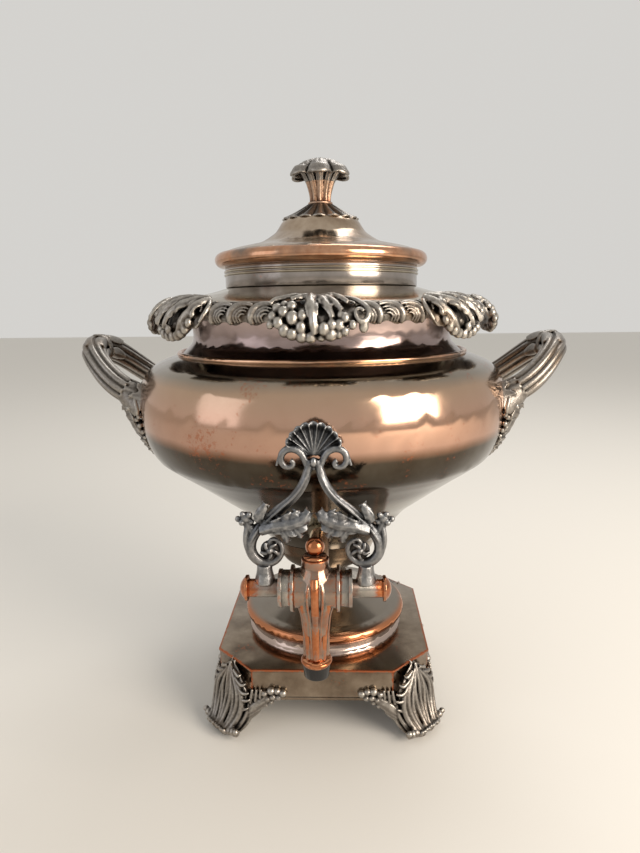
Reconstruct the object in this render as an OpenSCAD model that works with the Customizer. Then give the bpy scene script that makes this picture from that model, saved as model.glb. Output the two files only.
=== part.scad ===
// Silver-plated copper tea urn: round footed body, cast rim border, domed lid,
// two reeded loop handles, four cast corner feet and a lever draw-off tap.
// Millimetres. +Z is up, +X is to the right of a user facing the tap, the tap
// is on the -Y side. The origin is on the table, on the axis of the body.

/* [Whole urn] */
// sheet thickness of the raised copper pieces
wall = 1.4; // [1:0.1:1.8]

/* [Plinth and feet] */
// distance across the flats of the plinth
plinth_w = 154; // [146:1:162]
// side of the corner that is cut off the square
plinth_cant = 27.6; // [24:0.2:30]
// height of the plinth skirt
plinth_h = 23; // [20:0.5:26]
// height of the cast feet under the skirt
foot_h = 28; // [25:0.5:32]
// number of leaf ribs on a foot
foot_ribs = 7; // [5:1:7]

/* [Pedestal and stem] */
// radius of the convex ring on the pedestal
ring_r = 62.5; // [58:0.5:66]
// height of the pedestal
pedestal_h = 41; // [37:0.5:46]
// radius at the narrowest place
waist_r = 17.5; // [15:0.5:20]
// height of the flared stem
stem_h = 33; // [29:0.5:37]
// radius where the stem meets the body
stem_top_r = 43; // [39:0.5:46]

/* [Body] */
// largest radius of the body
bowl_r = 132.8; // [126:0.4:138]
// height of the body up to the shoulder ring
bowl_h = 140; // [134:1:148]
// radius at the shoulder ring
shoulder_r = 102.8; // [98:0.2:106]
// height of the neck and rim above the shoulder ring
neck_h = 46; // [42:0.5:50]

/* [Rim border] */
// radius of the edge of the rim plate
rim_r = 112; // [109:0.5:115]
// number of leaf and grape groups
groups = 8; // [6:2:8]
// grapes across one bunch
bunch_rows = 3; // [2:1:3]

/* [Collar and lid] */
// outer radius of the collar
collar_r = 69; // [65:0.5:72]
// height of the collar
collar_h = 14; // [11:0.5:18]
// height of the lid without the finial
lid_h = 33; // [30:0.5:37]
// play between the lid bezel and the collar
lid_play = 0.7; // [0.5:0.1:0.9]
// radius of the leaf plate under the finial
rosette_r = 27; // [24:0.5:30]
// height of the finial
finial_h = 41; // [38:0.5:45]

/* [Handles] */
// half the distance between the two legs
handle_half = 38; // [34:0.5:42]
// length of a leg before the bend
handle_leg = 15.5; // [12:0.5:20]
// upward slope of the loop in degrees
handle_slope = 33; // [26:1:38]
// radius of the core of the tube
handle_core = 7.2; // [6.4:0.1:7.8]
// number of reeds round the tube
reeds = 9; // [7:1:10]

/* [Tap] */
// distance of the plug axis from the body axis
tap_reach = 150; // [144:1:156]
// height of the plug axis above the body floor
tap_rise = 22.5; // [21:0.5:25]
// radius of the turning plug
plug_r = 7; // [6.4:0.1:7.4]
// running play round the plug
plug_play = 0.06; // [0.04:0.01:0.08]
// bore of the pipe and the spout
water_r = 4; // [3.2:0.1:4.2]
// length of the spout under the plug axis
spout_drop = 41; // [38:0.5:44]
// half the distance between the feet of the lever
lever_half = 28.5; // [27:0.5:30]

/* [Heater] */
// outer radius of the heater sleeve
sleeve_r = 24; // [21:0.5:26]
// height of the heater sleeve
sleeve_h = 186; // [176:1:190]
// length of the iron slug
slug_h = 134; // [110:1:140]

/* [Hidden] */
$fn = 60;
z_plinth = foot_h;
z_pedestal = foot_h + plinth_h;
z_stem = z_pedestal + pedestal_h;
z_bowl = z_stem + stem_h;
z_ring = z_bowl + bowl_h;
z_collar = z_ring + neck_h;
z_lid = z_collar + collar_h;
z_top = z_lid + lid_h;
z_tap = z_bowl + tap_rise;
half = plinth_w / 2;
flat = half - plinth_cant;
rod_r = 3;
collar_in = collar_r - wall;
bezel_r = collar_in - lid_play;
sector = 360 / groups;
silver = [0.66, 0.62, 0.57];
pewter = [0.45, 0.44, 0.42];
copper = [0.72, 0.42, 0.26];

// ---- curves and shells ----------------------------------------------------

// point on the smooth curve between b and c, u from 0 to 1
function between(a, b, c, d, u) =
    0.5 * (2 * b + (c - a) * u + (2 * a - 5 * b + 4 * c - d) * u * u
           + (3 * b - a - 3 * c + d) * u * u * u);

// smooth curve through the knots k, with n steps between two of them
function curve(k, n = 5) =
    let (last = len(k) - 1)
    concat([for (i = [0:last - 1], s = [0:n - 1])
                between(k[max(i - 1, 0)], k[i], k[i + 1], k[min(i + 2, last)], s / n)],
           [k[last]]);

// the curve p moved sideways by t, to the left of its run
function beside(p, t) =
    let (last = len(p) - 1)
    [for (i = [0:last])
        let (d = p[min(i + 1, last)] - p[max(i - 1, 0)])
        p[i] + t * [-d[1], d[0]] / norm(d)];

function backwards(p) = [for (i = [len(p) - 1:-1:0]) p[i]];

// radius of the curve p at height z
function radius_at(p, z) =
    max([for (i = [0:len(p) - 2])
            let (a = p[i], b = p[i + 1])
            (z - a[1]) * (z - b[1]) <= 0 && a[1] != b[1]
                ? a[0] + (b[0] - a[0]) * (z - a[1]) / (b[1] - a[1]) : 0]);

// sheet between the curve p and the same curve moved by t
module sheet(p, t) {
    rotate_extrude() polygon(concat(p, backwards(beside(p, t))));
}

// ring of n copies round the Z axis
module around(n, start = 0) {
    for (i = [0:n - 1]) rotate(start + i * 360 / n) children();
}

// round rod that follows turns: [radius, angle, rod radius]; left is positive
// and a radius of 0 is a straight piece; each piece starts 1 mm back inside
// the thicker one before it
module trail(turns, k = 0) {
    if (k < len(turns)) {
        r = turns[k][0];
        a = turns[k][1];
        w = turns[k][2];
        back = k > 0 ? 1 : 0;
        if (r == 0) {
            translate([-back, 0, 0]) rotate([0, 90, 0]) cylinder(r = w, h = a + back);
            translate([a, 0, 0]) trail(turns, k + 1);
        } else {
            turn = back * 57.3 / r;
            mirror([0, a > 0 ? 0 : 1, 0]) translate([0, r, 0]) rotate(-90 - turn)
                rotate_extrude(angle = abs(a) + turn) translate([r, 0]) circle(w);
            translate([0, sign(a) * r, 0]) rotate(a) translate([0, -sign(a) * r, 0]) trail(turns, k + 1);
        }
    }
}

// round bar from point a to point b with end radii ra and rb
module bar(a, b, ra, rb) {
    d = b - a;
    translate(a) rotate([0, acos(d[2] / norm(d)), atan2(d[1], d[0])])
        cylinder(r1 = ra, r2 = rb, h = norm(d));
}

// drop-shaped lump from point a to point b with end radii ra and rb
module drop(a, b, ra, rb) {
    translate(a) sphere(ra);
    bar(a, b, ra * 0.94, rb * 0.94);
    translate(b) sphere(rb);
}

// ---- plinth and feet ------------------------------------------------------

// canted square drawn in by e
module canted(e = 0) {
    h = half - e;
    f = flat - e * 0.41;
    polygon([[h, f], [f, h], [-f, h], [-h, f], [-h, -f], [-f, -h], [f, -h], [h, -f]]);
}

module plinth() {
    color(silver) difference() {
        union() {
            translate([0, 0, z_plinth]) linear_extrude(plinth_h) canted(0.7);
            translate([0, 0, z_plinth]) linear_extrude(2) canted();
            translate([0, 0, z_pedestal - 2]) linear_extrude(2) canted();
        }
        translate([0, 0, z_plinth - 1]) linear_extrude(plinth_h + 1 - wall) canted(wall + 0.7);
        cylinder(r = rod_r, h = z_stem);
    }
}

// one foot on the +X -Y corner: ribbed leaf that narrows down to a rolled toe,
// and two beaded brackets along the plinth
module foot() {
    face = (half + flat) / sqrt(2);
    toe = face + 13;
    top = z_pedestal - 3;
    drop = top - 7.7;
    bend = (drop * drop + 132) / 23;
    side = 0.35;
    edge = curve([[1.2, z_pedestal - 1.4], [7.5, z_pedestal - 5.5], [14, z_pedestal - 11],
                  [18.6, z_plinth + 6], [18.8, z_plinth + 0.5], [16.4, z_plinth * 0.72],
                  [13, z_plinth * 0.43], [11, 4], [10.6, 1]], 2);
    difference() {
        union() {
            rotate(-45) {
                // heel that carries the corner, and the sole
                translate([face - 9, -11, -1]) cube([12.6, 22, z_plinth + 1]);
                translate([face - 8, -10, -2]) cube([18, 20, 9]);
                // toe roll with a knob at each end
                translate([toe, -11.5, 6.2]) rotate([-90, 0, 0]) cylinder(r = 4.8, h = 23);
                for (s = [-1, 1]) translate([toe, s * 12.5, 7]) sphere(5.6);
                // leaf blade, its front a slow curve out to the toe
                intersection() {
                    translate([face - 1, 0, 0]) rotate([90, 0, 90]) linear_extrude(20)
                        polygon(concat(edge, [for (k = backwards(edge)) [-k[0], k[1]]]));
                    rotate([90, 0, 0]) linear_extrude(44, center = true)
                        polygon(concat([for (a = [0:4:32])
                                           [face + 1.6 + bend * (1 - cos(a)), top + 2 - bend * sin(a)]],
                                       [[face + 9, 0], [face - 1.5, 0], [face - 1.5, top + 3],
                                        [face + 1.5, top + 3]]));
                }
                // ribs that draw together towards the toe
                for (i = [0:foot_ribs - 1]) {
                    f = 2 * i / (foot_ribs - 1) - 1;
                    low = asin(drop / bend);
                    high = asin(14 * f * f / bend);
                    translate([0, f * 9.6, 8]) rotate([-f * 11.3, 0, 0])
                        translate([face + 2.2 + bend, 0, top - 8]) rotate([90, 0, 0]) rotate(180 + high)
                            rotate_extrude(angle = low - high) translate([bend, 0]) circle(1.5);
                }
            }
            // brackets along the two sides of the plinth
            for (m = [0, 1]) rotate(-45) mirror([0, m, 0]) rotate(45) {
                translate([0, side - half, 0]) rotate([90, 0, 0]) linear_extrude(3)
                    polygon(concat(curve([[flat + 13, 3], [flat, 11.5], [flat - 12, 22], [flat - 25, 29]], 3),
                                   [[flat - 26.5, z_plinth + 5], [flat - 22, z_plinth + 8.5],
                                    [flat - 10, z_plinth + 9], [flat + 2, z_plinth + 11],
                                    [flat + 4.6, z_plinth], [flat + 9, z_plinth * 0.43]]));
                for (i = [0:3]) translate([flat - 23 + i * 6.4, side - half - 3, z_plinth + 4.6])
                    sphere(2.9);
                for (i = [0:3]) translate([flat - 15 + i * 6.2, side - half - 2.8, z_plinth - 1.8 - i * 4.4])
                    sphere(2.6 + 0.1 * i);
            }
        }
        // the skirt and all that lies behind it stays free
        translate([0, 0, z_plinth]) linear_extrude(plinth_h + 9) canted(-0.05);
        translate([0, 0, -20]) cube([400, 400, 40], center = true);
    }
}

module foot_front_right() {
    color(pewter) foot();
}

module foot_front_left() {
    color(pewter) rotate(-90) foot();
}

module foot_back_left() {
    color(pewter) rotate(180) foot();
}

module foot_back_right() {
    color(pewter) rotate(90) foot();
}

// ---- pedestal, stem and tie ----------------------------------------------

pedestal_line = let (base = ring_r - 5, tall = pedestal_h - 18)
    concat(curve([[base + 2.6, 0], [base + 2.4, 1.4], [base + 0.3, 3.6], [base - 0.3, 7.4]], 3),
           [for (a = [-70:20:90]) [base + 5 * cos(a), 13 + 5 * sin(a)]],
           curve([[base - 6, 18.4], [base - 13, 18 + tall * 0.11], [waist_r + 18, 18 + tall * 0.24],
                  [waist_r + 9, 18 + tall * 0.44], [waist_r + 3, 18 + tall * 0.7],
                  [waist_r, pedestal_h]], 4));

module pedestal() {
    color(silver) translate([0, 0, z_pedestal]) sheet(pedestal_line, wall);
}

stem_line = let (w = stem_top_r - waist_r)
    curve([[waist_r, 0], [waist_r + w * 0.06, stem_h * 0.13], [waist_r + w * 0.24, stem_h * 0.26],
           [waist_r + w * 0.53, stem_h * 0.4], [waist_r + w * 0.73, stem_h * 0.6],
           [waist_r + w * 0.86, stem_h * 0.8], [stem_top_r, stem_h]], 4);

module stem() {
    color(silver) translate([0, 0, z_stem]) difference() {
        rotate_extrude() polygon(concat(stem_line, [[0, stem_h], [0, 0]]));
        translate([0, 0, -0.5]) rotate_extrude()
            polygon(concat([[0, 0], [waist_r - wall, 0]],
                           [for (p = beside(stem_line, wall)) if (p[1] > 0.6) p],
                           [[stem_top_r - wall, stem_h + 2], [0, stem_h + 2]]));
    }
}

module tie_rod() {
    color(copper) translate([0, 0, z_pedestal - 10]) cylinder(r = rod_r, h = z_bowl - z_pedestal + 18);
}

module tie_nuts() {
    color(copper) for (z = [z_pedestal - wall - 6.6, z_bowl + wall + 1.4]) translate([0, 0, z])
        difference() {
            cylinder(r = 6, h = 5, $fn = 6);
            translate([0, 0, -1]) cylinder(r = rod_r, h = 8);
        }
}

module tie_washers() {
    color(copper) for (z = [z_pedestal - wall - 1.6, z_bowl + wall]) translate([0, 0, z])
        difference() {
            cylinder(r = 11, h = z > z_bowl ? 1.4 : 1.6);
            translate([0, 0, -1]) cylinder(r = rod_r, h = 4);
        }
}

// ---- body -----------------------------------------------------------------

neck_in = shoulder_r - 1.8;

// outline of the body from the stem up to the shoulder ring
bowl_line = let (w = bowl_r - stem_top_r, s = bowl_r - shoulder_r)
    curve([[stem_top_r, 0], [stem_top_r + w * 0.1, bowl_h * 0.065], [stem_top_r + w * 0.24, bowl_h * 0.175],
           [stem_top_r + w * 0.415, bowl_h * 0.265], [stem_top_r + w * 0.68, bowl_h * 0.393],
           [stem_top_r + w * 0.82, bowl_h * 0.457], [stem_top_r + w * 0.91, bowl_h * 0.51],
           [stem_top_r + w * 0.98, bowl_h * 0.622], [bowl_r, bowl_h * 0.757],
           [bowl_r - s * 0.1, bowl_h * 0.878], [bowl_r - s * 0.34, bowl_h * 0.942],
           [bowl_r - s * 0.68, bowl_h * 0.977], [shoulder_r, bowl_h]], 4);

function bowl_at(z) = radius_at(bowl_line, z - z_bowl);

// solid shape of the body, used to trim what lies on it
module bowl_solid() {
    translate([0, 0, z_bowl]) rotate_extrude() polygon(concat(bowl_line, [[0, bowl_h], [0, 0]]));
}

module bowl() {
    inner = [for (p = beside(bowl_line, wall)) if (p[1] > wall && p[1] < bowl_h - wall - 0.1) p];
    color(silver) difference() {
        bowl_solid();
        translate([0, 0, z_bowl]) rotate_extrude()
            polygon(concat([[0, wall], [inner[0][0] - 1, wall]], inner,
                           [[neck_in, bowl_h - wall], [neck_in, bowl_h + 1], [0, bowl_h + 1]]));
        cylinder(r = rod_r, h = z_bowl + 10);
        translate([0, 0, z_tap]) rotate([90, 0, 0]) cylinder(r = water_r + 2.2, h = tap_reach);
    }
}

// outline of the neck, widening to the rim plate
neck_line = let (t = neck_h)
    curve([[shoulder_r - 0.4, 0], [shoulder_r - 4.5, t * 0.08], [shoulder_r - 8.4, t * 0.17],
           [shoulder_r - 9.4, t * 0.28], [shoulder_r - 8.8, t * 0.43], [shoulder_r - 6, t * 0.6],
           [shoulder_r - 2, t * 0.765]], 4);

module neck() {
    color(silver) difference() {
        translate([0, 0, z_ring]) rotate_extrude()
            polygon(concat(neck_line, [[neck_in - 1.8, neck_h * 0.765]],
                           backwards([for (p = beside(neck_line, wall))
                               if (p[1] > 0.4 && p[1] < neck_h * 0.75) p]),
                           [[neck_in, 0]]));
        rim_solid();
    }
}

module shoulder_ring() {
    color(copper) difference() {
        translate([0, 0, z_ring + 0.6]) rotate_extrude() translate([shoulder_r + 0.7, 0]) circle(1.7);
        bowl_solid();
        translate([0, 0, z_ring]) rotate_extrude() polygon(concat(neck_line, [[neck_in - 9, neck_h * 0.765],
                                                                              [neck_in - 9, 0]]));
    }
}

// ---- rim ------------------------------------------------------------------

// top outline of the rim plate from the collar to its edge, run outwards
rim_line = let (w = rim_r - collar_in)
    curve([[collar_in, 0], [collar_in + w * 0.05, -0.7], [collar_in + w * 0.24, -3.2],
           [collar_in + w * 0.51, -6], [collar_in + w * 0.76, -9], [rim_r, -13.5]], 4);

module rim_plate() {
    color(silver) translate([0, 0, z_collar]) sheet(rim_line, -wall);
}

// space of the rim plate and all above it
module rim_solid() {
    translate([0, 0, z_collar]) rotate_extrude()
        polygon(concat(beside(rim_line, -wall), [[rim_r, 10], [collar_in - 2, 10]]));
}

module band_shape() {
    rotate_extrude() polygon([[rim_r - 8.5, -9], [rim_r - 8.5, -20], [rim_r - 5.5, -21.5],
                              [rim_r - 2, -20], [rim_r - 1, -17], [rim_r - 1, -9]]);
}

module rim_band() {
    color(pewter) difference() {
        translate([0, 0, z_collar]) band_shape();
        rim_solid();
    }
}

// what the cast border is fitted against
module border_seat() {
    translate([0, 0, z_collar]) rotate_extrude()
        polygon(concat([[rim_r - 26, -21]], [for (p = rim_line) if (p[0] > rim_r - 26) p],
                       [beside(rim_line, -wall)[len(rim_line) - 1], [rim_r - 1, -17], [rim_r - 2, -20],
                        [rim_r - 5.5, -21.5], [rim_r - 8.5, -20]]));
}

// drop-shaped lobes, three between two groups
module rim_gadroons() {
    step = (sector - 24.6) / 3;
    big = (rim_r - 1.5) * sin(step / 2) * 1.02;
    color(pewter) difference() {
        translate([0, 0, z_collar]) around(groups, sector / 2 - 90) for (i = [-1:1]) rotate(i * step)
            drop([rim_r - 7.5, 0, -11.5], [rim_r - 1.6, 0, -18.5], 2.6, min(big, 6.7));
        border_seat();
    }
}

// vine leaf between two bunches of grapes
module rim_groups() {
    color(pewter) around(groups, -90) difference() {
        translate([0, 0, z_collar]) {
            rotate(-11.5) rotate_extrude(angle = 23)
                polygon([[rim_r - 9, -8.5], [rim_r - 3, -9.5], [rim_r + 4, -12.8], [rim_r + 9, -18],
                         [rim_r + 9.8, -22.5], [rim_r + 7, -27], [rim_r + 1, -28.5], [rim_r - 4, -22]]);
            // leaf veins
            for (a = [-3.1, 0, 3.1]) rotate(a) bar([rim_r - 4, 0, -9.2], [rim_r + 10, 0, -19.5], 1, 2.3);
            // grapes
            for (s = [-1, 1], i = [0:bunch_rows - 1], j = [0:2])
                rotate(s * (5.5 + i * 2.72))
                    translate([rim_r + [7, 9.7, 7.3][j] - i * 0.15, 0, -16.2 - j * 5.3])
                    sphere(2.62);
        }
        border_seat();
    }
}

module collar() {
    color(silver) translate([0, 0, z_collar]) difference() {
        cylinder(r = collar_r, h = collar_h);
        translate([0, 0, -1]) cylinder(r = collar_in, h = collar_h + 2);
    }
}

module collar_bead() {
    color(silver) for (z = [collar_h * 0.62, collar_h * 0.78]) translate([0, 0, z_collar + z])
        rotate_extrude() difference() {
            translate([collar_r, 0]) circle(0.9);
            translate([collar_r - 3, -2]) square([3, 4]);
        }
}

// ---- lid ------------------------------------------------------------------

lid_r = collar_r + 2;

// outline of the dome from the rim ring inwards to the flat top
lid_line = let (w = lid_r - rosette_r + 1)
    backwards(curve([[rosette_r - 1, lid_h], [rosette_r + w * 0.02, lid_h - 2],
           [rosette_r + w * 0.085, lid_h - 6.5], [rosette_r + w * 0.155, lid_h - 10],
           [rosette_r + w * 0.36, lid_h - 15.6], [rosette_r + w * 0.56, lid_h - 18],
           [rosette_r + w * 0.8, lid_h - 20.4], [lid_r, 10]], 4));

module lid_section() {
    polygon(concat(lid_line, [[0, lid_h], [0, lid_h - wall]],
                   backwards([for (p = beside(lid_line, wall)) if (p[1] < lid_h - wall - 0.05) p])));
}

module lid_dome() {
    color(silver) difference() {
        translate([0, 0, z_lid]) rotate_extrude() lid_section();
        translate([0, 0, z_lid]) cylinder(r = 2.5, h = lid_h + 5);
    }
}

module lid_rim() {
    color(copper) translate([0, 0, z_lid]) rotate_extrude() difference() {
        union() {
            translate([lid_r, 5]) circle(5);
            translate([bezel_r, 0]) square([lid_r - bezel_r, 8.4]);
        }
        polygon(concat(beside(lid_line, wall), [[0, lid_h + 5], [lid_r + 9, lid_h + 5], [lid_r + 9, 10],
                                                 [lid_r, 10]]));
        translate([bezel_r - 5, -1]) square([5, 20]);
    }
}

module lid_bezel() {
    color(silver) translate([0, 0, z_lid - collar_h * 0.75]) difference() {
        cylinder(r = bezel_r, h = collar_h * 0.75 + 8);
        translate([0, 0, -1]) cylinder(r = bezel_r - wall, h = collar_h + 12);
    }
}

// ---- finial ---------------------------------------------------------------

module finial_rosette() {
    color(pewter) translate([0, 0, z_top]) difference() {
        union() {
            cylinder(r = rosette_r - 1, h = 1.8);
            around(16) translate([rosette_r - 1.4, 0, 0]) cylinder(r = 3.8, h = 1.6);
            rotate_extrude() polygon(concat(curve([[rosette_r - 6, 1.5], [rosette_r - 11, 4.2],
                                                   [11, 7.2], [8.2, 11.5]], 4), [[0, 11.5], [0, 1.5]]));
            around(16, 11.25) bar([rosette_r - 3, 0, 1.4], [9.4, 0, 8.6], 1.8, 1.1);
        }
        translate([0, 0, -1]) cylinder(r = 2.5, h = 20);
    }
}

module finial_stem() {
    h = finial_h - 26.5;
    color(pewter) translate([0, 0, z_top + 11.5]) difference() {
        union() {
            cylinder(r1 = 6.2, r2 = 7.6, h = h);
            around(10) bar([6, 0, 0], [7.4, 0, h], 1, 1.5);
        }
        translate([0, 0, -1]) cylinder(r = 2.5, h = 8);
        translate([0, 0, -5]) cube([30, 30, 10], center = true);
        translate([0, 0, h + 5]) cube([30, 30, 10], center = true);
    }
}

module finial_cap() {
    color(pewter) translate([0, 0, z_top + finial_h - 15]) {
        intersection() {
            rotate_extrude() polygon(concat(curve([[0, 15.5], [6, 14.7], [12.3, 11.6], [17.6, 8],
                                                   [20.3, 4.6], [20.8, 2.6]], 4),
                                            [[19, 2.2], [15, 3.2], [9.5, 0.6], [8.6, 0], [0, 0]]));
            union() {
                cylinder(r = 14, h = 20);
                around(6) translate([13, 0, 0]) cylinder(r = 7.8, h = 20);
            }
        }
    }
}

module finial_stud() {
    color(copper) translate([0, 0, z_top - wall - 6]) cylinder(r = 2.5, h = wall + 6 + 11.5 + 6);
}

module finial_nut() {
    color(copper) translate([0, 0, z_top - wall - 4.1]) difference() {
        cylinder(r = 5.5, h = 4, $fn = 6);
        translate([0, 0, -1]) cylinder(r = 2.5, h = 6);
    }
}

// ---- handles --------------------------------------------------------------

z_handle = z_bowl + bowl_h * 0.82;
root_x = sqrt(bowl_at(z_handle) * bowl_at(z_handle) - handle_half * handle_half) - 3;
leaf_turn = asin(handle_half / bowl_at(z_handle));

module reeded() {
    circle(handle_core);
    for (i = [0:reeds - 1]) rotate(i * 360 / reeds) translate([handle_core - 0.6, 0]) circle(2.3);
}

// flared root of one leg, in the frame of the loop
module handle_root() {
    bar([15, 0, 0], [-5, 0, -5.5], handle_core + 0.9, 13);
}

module handle() {
    difference() {
        translate([root_x, 0, z_handle]) rotate([0, -handle_slope, 0]) {
            translate([handle_leg, 0, 0]) rotate(-90) rotate_extrude(angle = 180)
                translate([handle_half, 0]) reeded();
            for (s = [-1, 1]) translate([0, s * handle_half, 0]) handle_root();
            for (s = [-1, 1]) translate([handle_leg, s * handle_half, 0]) rotate([0, -90, 0])
                rotate(s > 0 ? 0 : 180) mirror([s > 0 ? 1 : 0, 0, 0]) rotate(s > 0 ? 90 : -90)
                    linear_extrude(handle_leg + 12) reeded();
        }
        bowl_solid();
    }
}

module handle_right() {
    color(pewter) handle();
}

module handle_left() {
    color(pewter) mirror([1, 0, 0]) handle();
}

// acanthus leaf and berries under one leg, lying on the body
module handle_leaf() {
    p = [for (q = bowl_line) if (q[1] > bowl_h * 0.47 && q[1] < bowl_h * 0.93) q];
    n = len(p) - 1;
    edge = [[0, 0.49], [3.2, 0.53], [2.6, 0.56], [5, 0.61], [4.2, 0.65],
            [7, 0.71], [6.2, 0.75], [9.2, 0.79], [9, 0.83]];
    difference() {
        union() {
            intersection() {
                translate([0, 0, z_bowl]) rotate(-8) rotate_extrude(angle = 16)
                    polygon(concat(p, backwards([for (i = [0:n]) beside(p, -2.2 - 2.6 * i / n)[i]])));
                translate([bowl_r - 50, 0, z_bowl]) rotate([90, 0, 90]) linear_extrude(70)
                    polygon(concat([for (e = edge) [e[0], e[1] * bowl_h]],
                                   backwards([for (e = edge) if (e[0] > 0) [-e[0], e[1] * bowl_h]])));
            }
            for (i = [0:3], s = [-1, 1]) let (z = bowl_h * (0.62 + i * 0.06))
                rotate(s * (1.5 + i * 0.35))
                    translate([bowl_at(z_bowl + z) + 3.2, 0, z_bowl + z]) sphere(2.7);
        }
        handle_space();
    }
}

// room of the handle leg, cut out of the leaf around it
module handle_space() {
    rotate(-leaf_turn) translate([root_x, handle_half, z_handle]) rotate([0, -handle_slope, 0]) {
        translate([-12, 0, 0]) rotate([0, 90, 0]) cylinder(r = handle_core + 1.9, h = 60);
        handle_root();
    }
}

module handle_leaves() {
    for (s = [0, 1]) mirror([0, s, 0]) rotate(leaf_turn) handle_leaf();
}

module handle_leaves_right() {
    color(pewter) handle_leaves();
}

module handle_leaves_left() {
    color(pewter) mirror([1, 0, 0]) handle_leaves();
}

// ---- tap ------------------------------------------------------------------

block = 11.5;
rod_end = lever_half + 8;
tap_back = tap_reach - 16;

module tap_pipe() {
    color(copper) translate([0, 0, z_tap]) rotate([90, 0, 0]) difference() {
        translate([0, 0, bowl_at(z_tap) - 16])
            cylinder(r = water_r + 2.2, h = tap_back - bowl_at(z_tap) + 16);
        cylinder(r = water_r, h = tap_reach);
    }
}

// flared sleeve soldered round the pipe on the body
module tap_sleeve() {
    color(silver) difference() {
        translate([0, 0, z_tap]) rotate([90, 0, 0]) translate([0, 0, bowl_at(z_tap) - 14])
            cylinder(r1 = 13, r2 = water_r + 3, h = 26);
        translate([0, 0, z_tap]) rotate([90, 0, 0]) cylinder(r = water_r + 2.2, h = tap_reach);
        bowl_solid();
    }
}

// the part of the tap that stands still, with its reeded spout
module tap_body() {
    color(copper) translate([0, -tap_reach, z_tap]) difference() {
        union() {
            rotate([0, 90, 0]) cylinder(r = plug_r + 3.6, h = 2 * block, center = true);
            rotate([-90, 0, 0]) cylinder(r = water_r + 3.4, h = 16);
            translate([0, 0, -spout_drop]) cylinder(r = 5.9, h = spout_drop);
            translate([0, 0, -13]) cylinder(r1 = 6.4, r2 = 10.4, h = 13);
            around(8) translate([water_r + 1.85, 0, 1 - spout_drop]) cylinder(r = 1.5, h = spout_drop - 7);
            for (a = [-40, 0, 40]) rotate(a - 90) drop([6.2, 0, -24], [9.3, 0, -2], 1.9, 2.6);
            cylinder(r1 = 8.8, r2 = 6.6, h = 14);
            translate([0, 0, 12.9]) cylinder(r = 7.4, h = 4.6);
        }
        rotate([0, 90, 0]) cylinder(r = plug_r + plug_play, h = 60, center = true);
        rotate([-90, 0, 0]) cylinder(r = water_r, h = 40);
        translate([0, 0, -spout_drop - 5]) cylinder(r = water_r, h = spout_drop + 5);
        cylinder(r = 3, h = 40);
    }
}

// turning plug with its elbow waterway, shut at rest
module tap_plug() {
    color(copper) translate([0, -tap_reach, z_tap]) difference() {
        union() {
            rotate([0, 90, 0]) cylinder(r = plug_r, h = 2 * block - 0.6, center = true);
            rotate([0, 90, 0]) cylinder(r = 4.9, h = 2 * rod_end, center = true);
        }
        rotate([180, 0, 0]) cylinder(r = water_r - 0.5, h = 20);
        rotate([90, 0, 0]) cylinder(r = water_r - 0.5, h = 20);
        sphere(water_r - 0.5);
    }
}

module tap_washers() {
    color(copper) for (s = [0, 1]) translate([0, -tap_reach, z_tap]) mirror([s, 0, 0])
        translate([block, 0, 0]) rotate([0, 90, 0]) difference() {
            cylinder(r = 12.6, h = 1.8);
            translate([0, 0, -1]) cylinder(r = 5, h = 4);
        }
}

module tap_glands() {
    color(copper) for (s = [0, 1]) translate([0, -tap_reach, z_tap]) mirror([s, 0, 0])
        translate([block + 1.8, 0, 0]) rotate([0, 90, 0]) difference() {
            union() {
                cylinder(r = 9.8, h = 6.6);
                translate([0, 0, 4.6]) cylinder(r = 10.3, h = 2);
            }
            translate([0, 0, -1]) cylinder(r = 5, h = 10);
        }
}

// round buttons riveted on the two ends of the plug
module tap_buttons() {
    color(copper) for (s = [0, 1]) translate([0, -tap_reach, z_tap]) mirror([s, 0, 0])
        translate([rod_end, 0, 0]) rotate([0, 90, 0]) {
            cylinder(r = 7, h = 1.6);
            intersection() {
                translate([0, 0, 1.6]) cylinder(r = 6.4, h = 5);
                translate([0, 0, -3.6]) sphere(8.2);
            }
        }
}

// screw plug in the top of the tap body, with its ball
module tap_ball() {
    color(copper) translate([0, -tap_reach, z_tap]) {
        translate([0, 0, plug_r + 1]) cylinder(r = 3, h = 11);
        translate([0, 0, 17.5]) cylinder(r = 6.2, h = 1.4);
        translate([0, 0, 18.5]) cylinder(r = 3, h = 3);
        translate([0, 0, 24]) sphere(5.2);
    }
}

module spout_ring() {
    color(copper) translate([0, -tap_reach, z_tap - spout_drop - 3.4]) difference() {
        union() {
            cylinder(r = 7.9, h = 3.4);
            translate([0, 0, 1.7]) rotate_extrude() translate([7.4, 0]) circle(1.3);
        }
        translate([0, 0, -1]) cylinder(r = water_r, h = 9);
    }
}

module spout_tip() {
    color([0.05, 0.05, 0.05]) translate([0, -tap_reach, z_tap - spout_drop - 10.9]) difference() {
        cylinder(r1 = 7, r2 = 7.8, h = 7.5);
        translate([0, 0, -1]) cylinder(r = water_r + 0.5, h = 9);
    }
}

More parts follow.
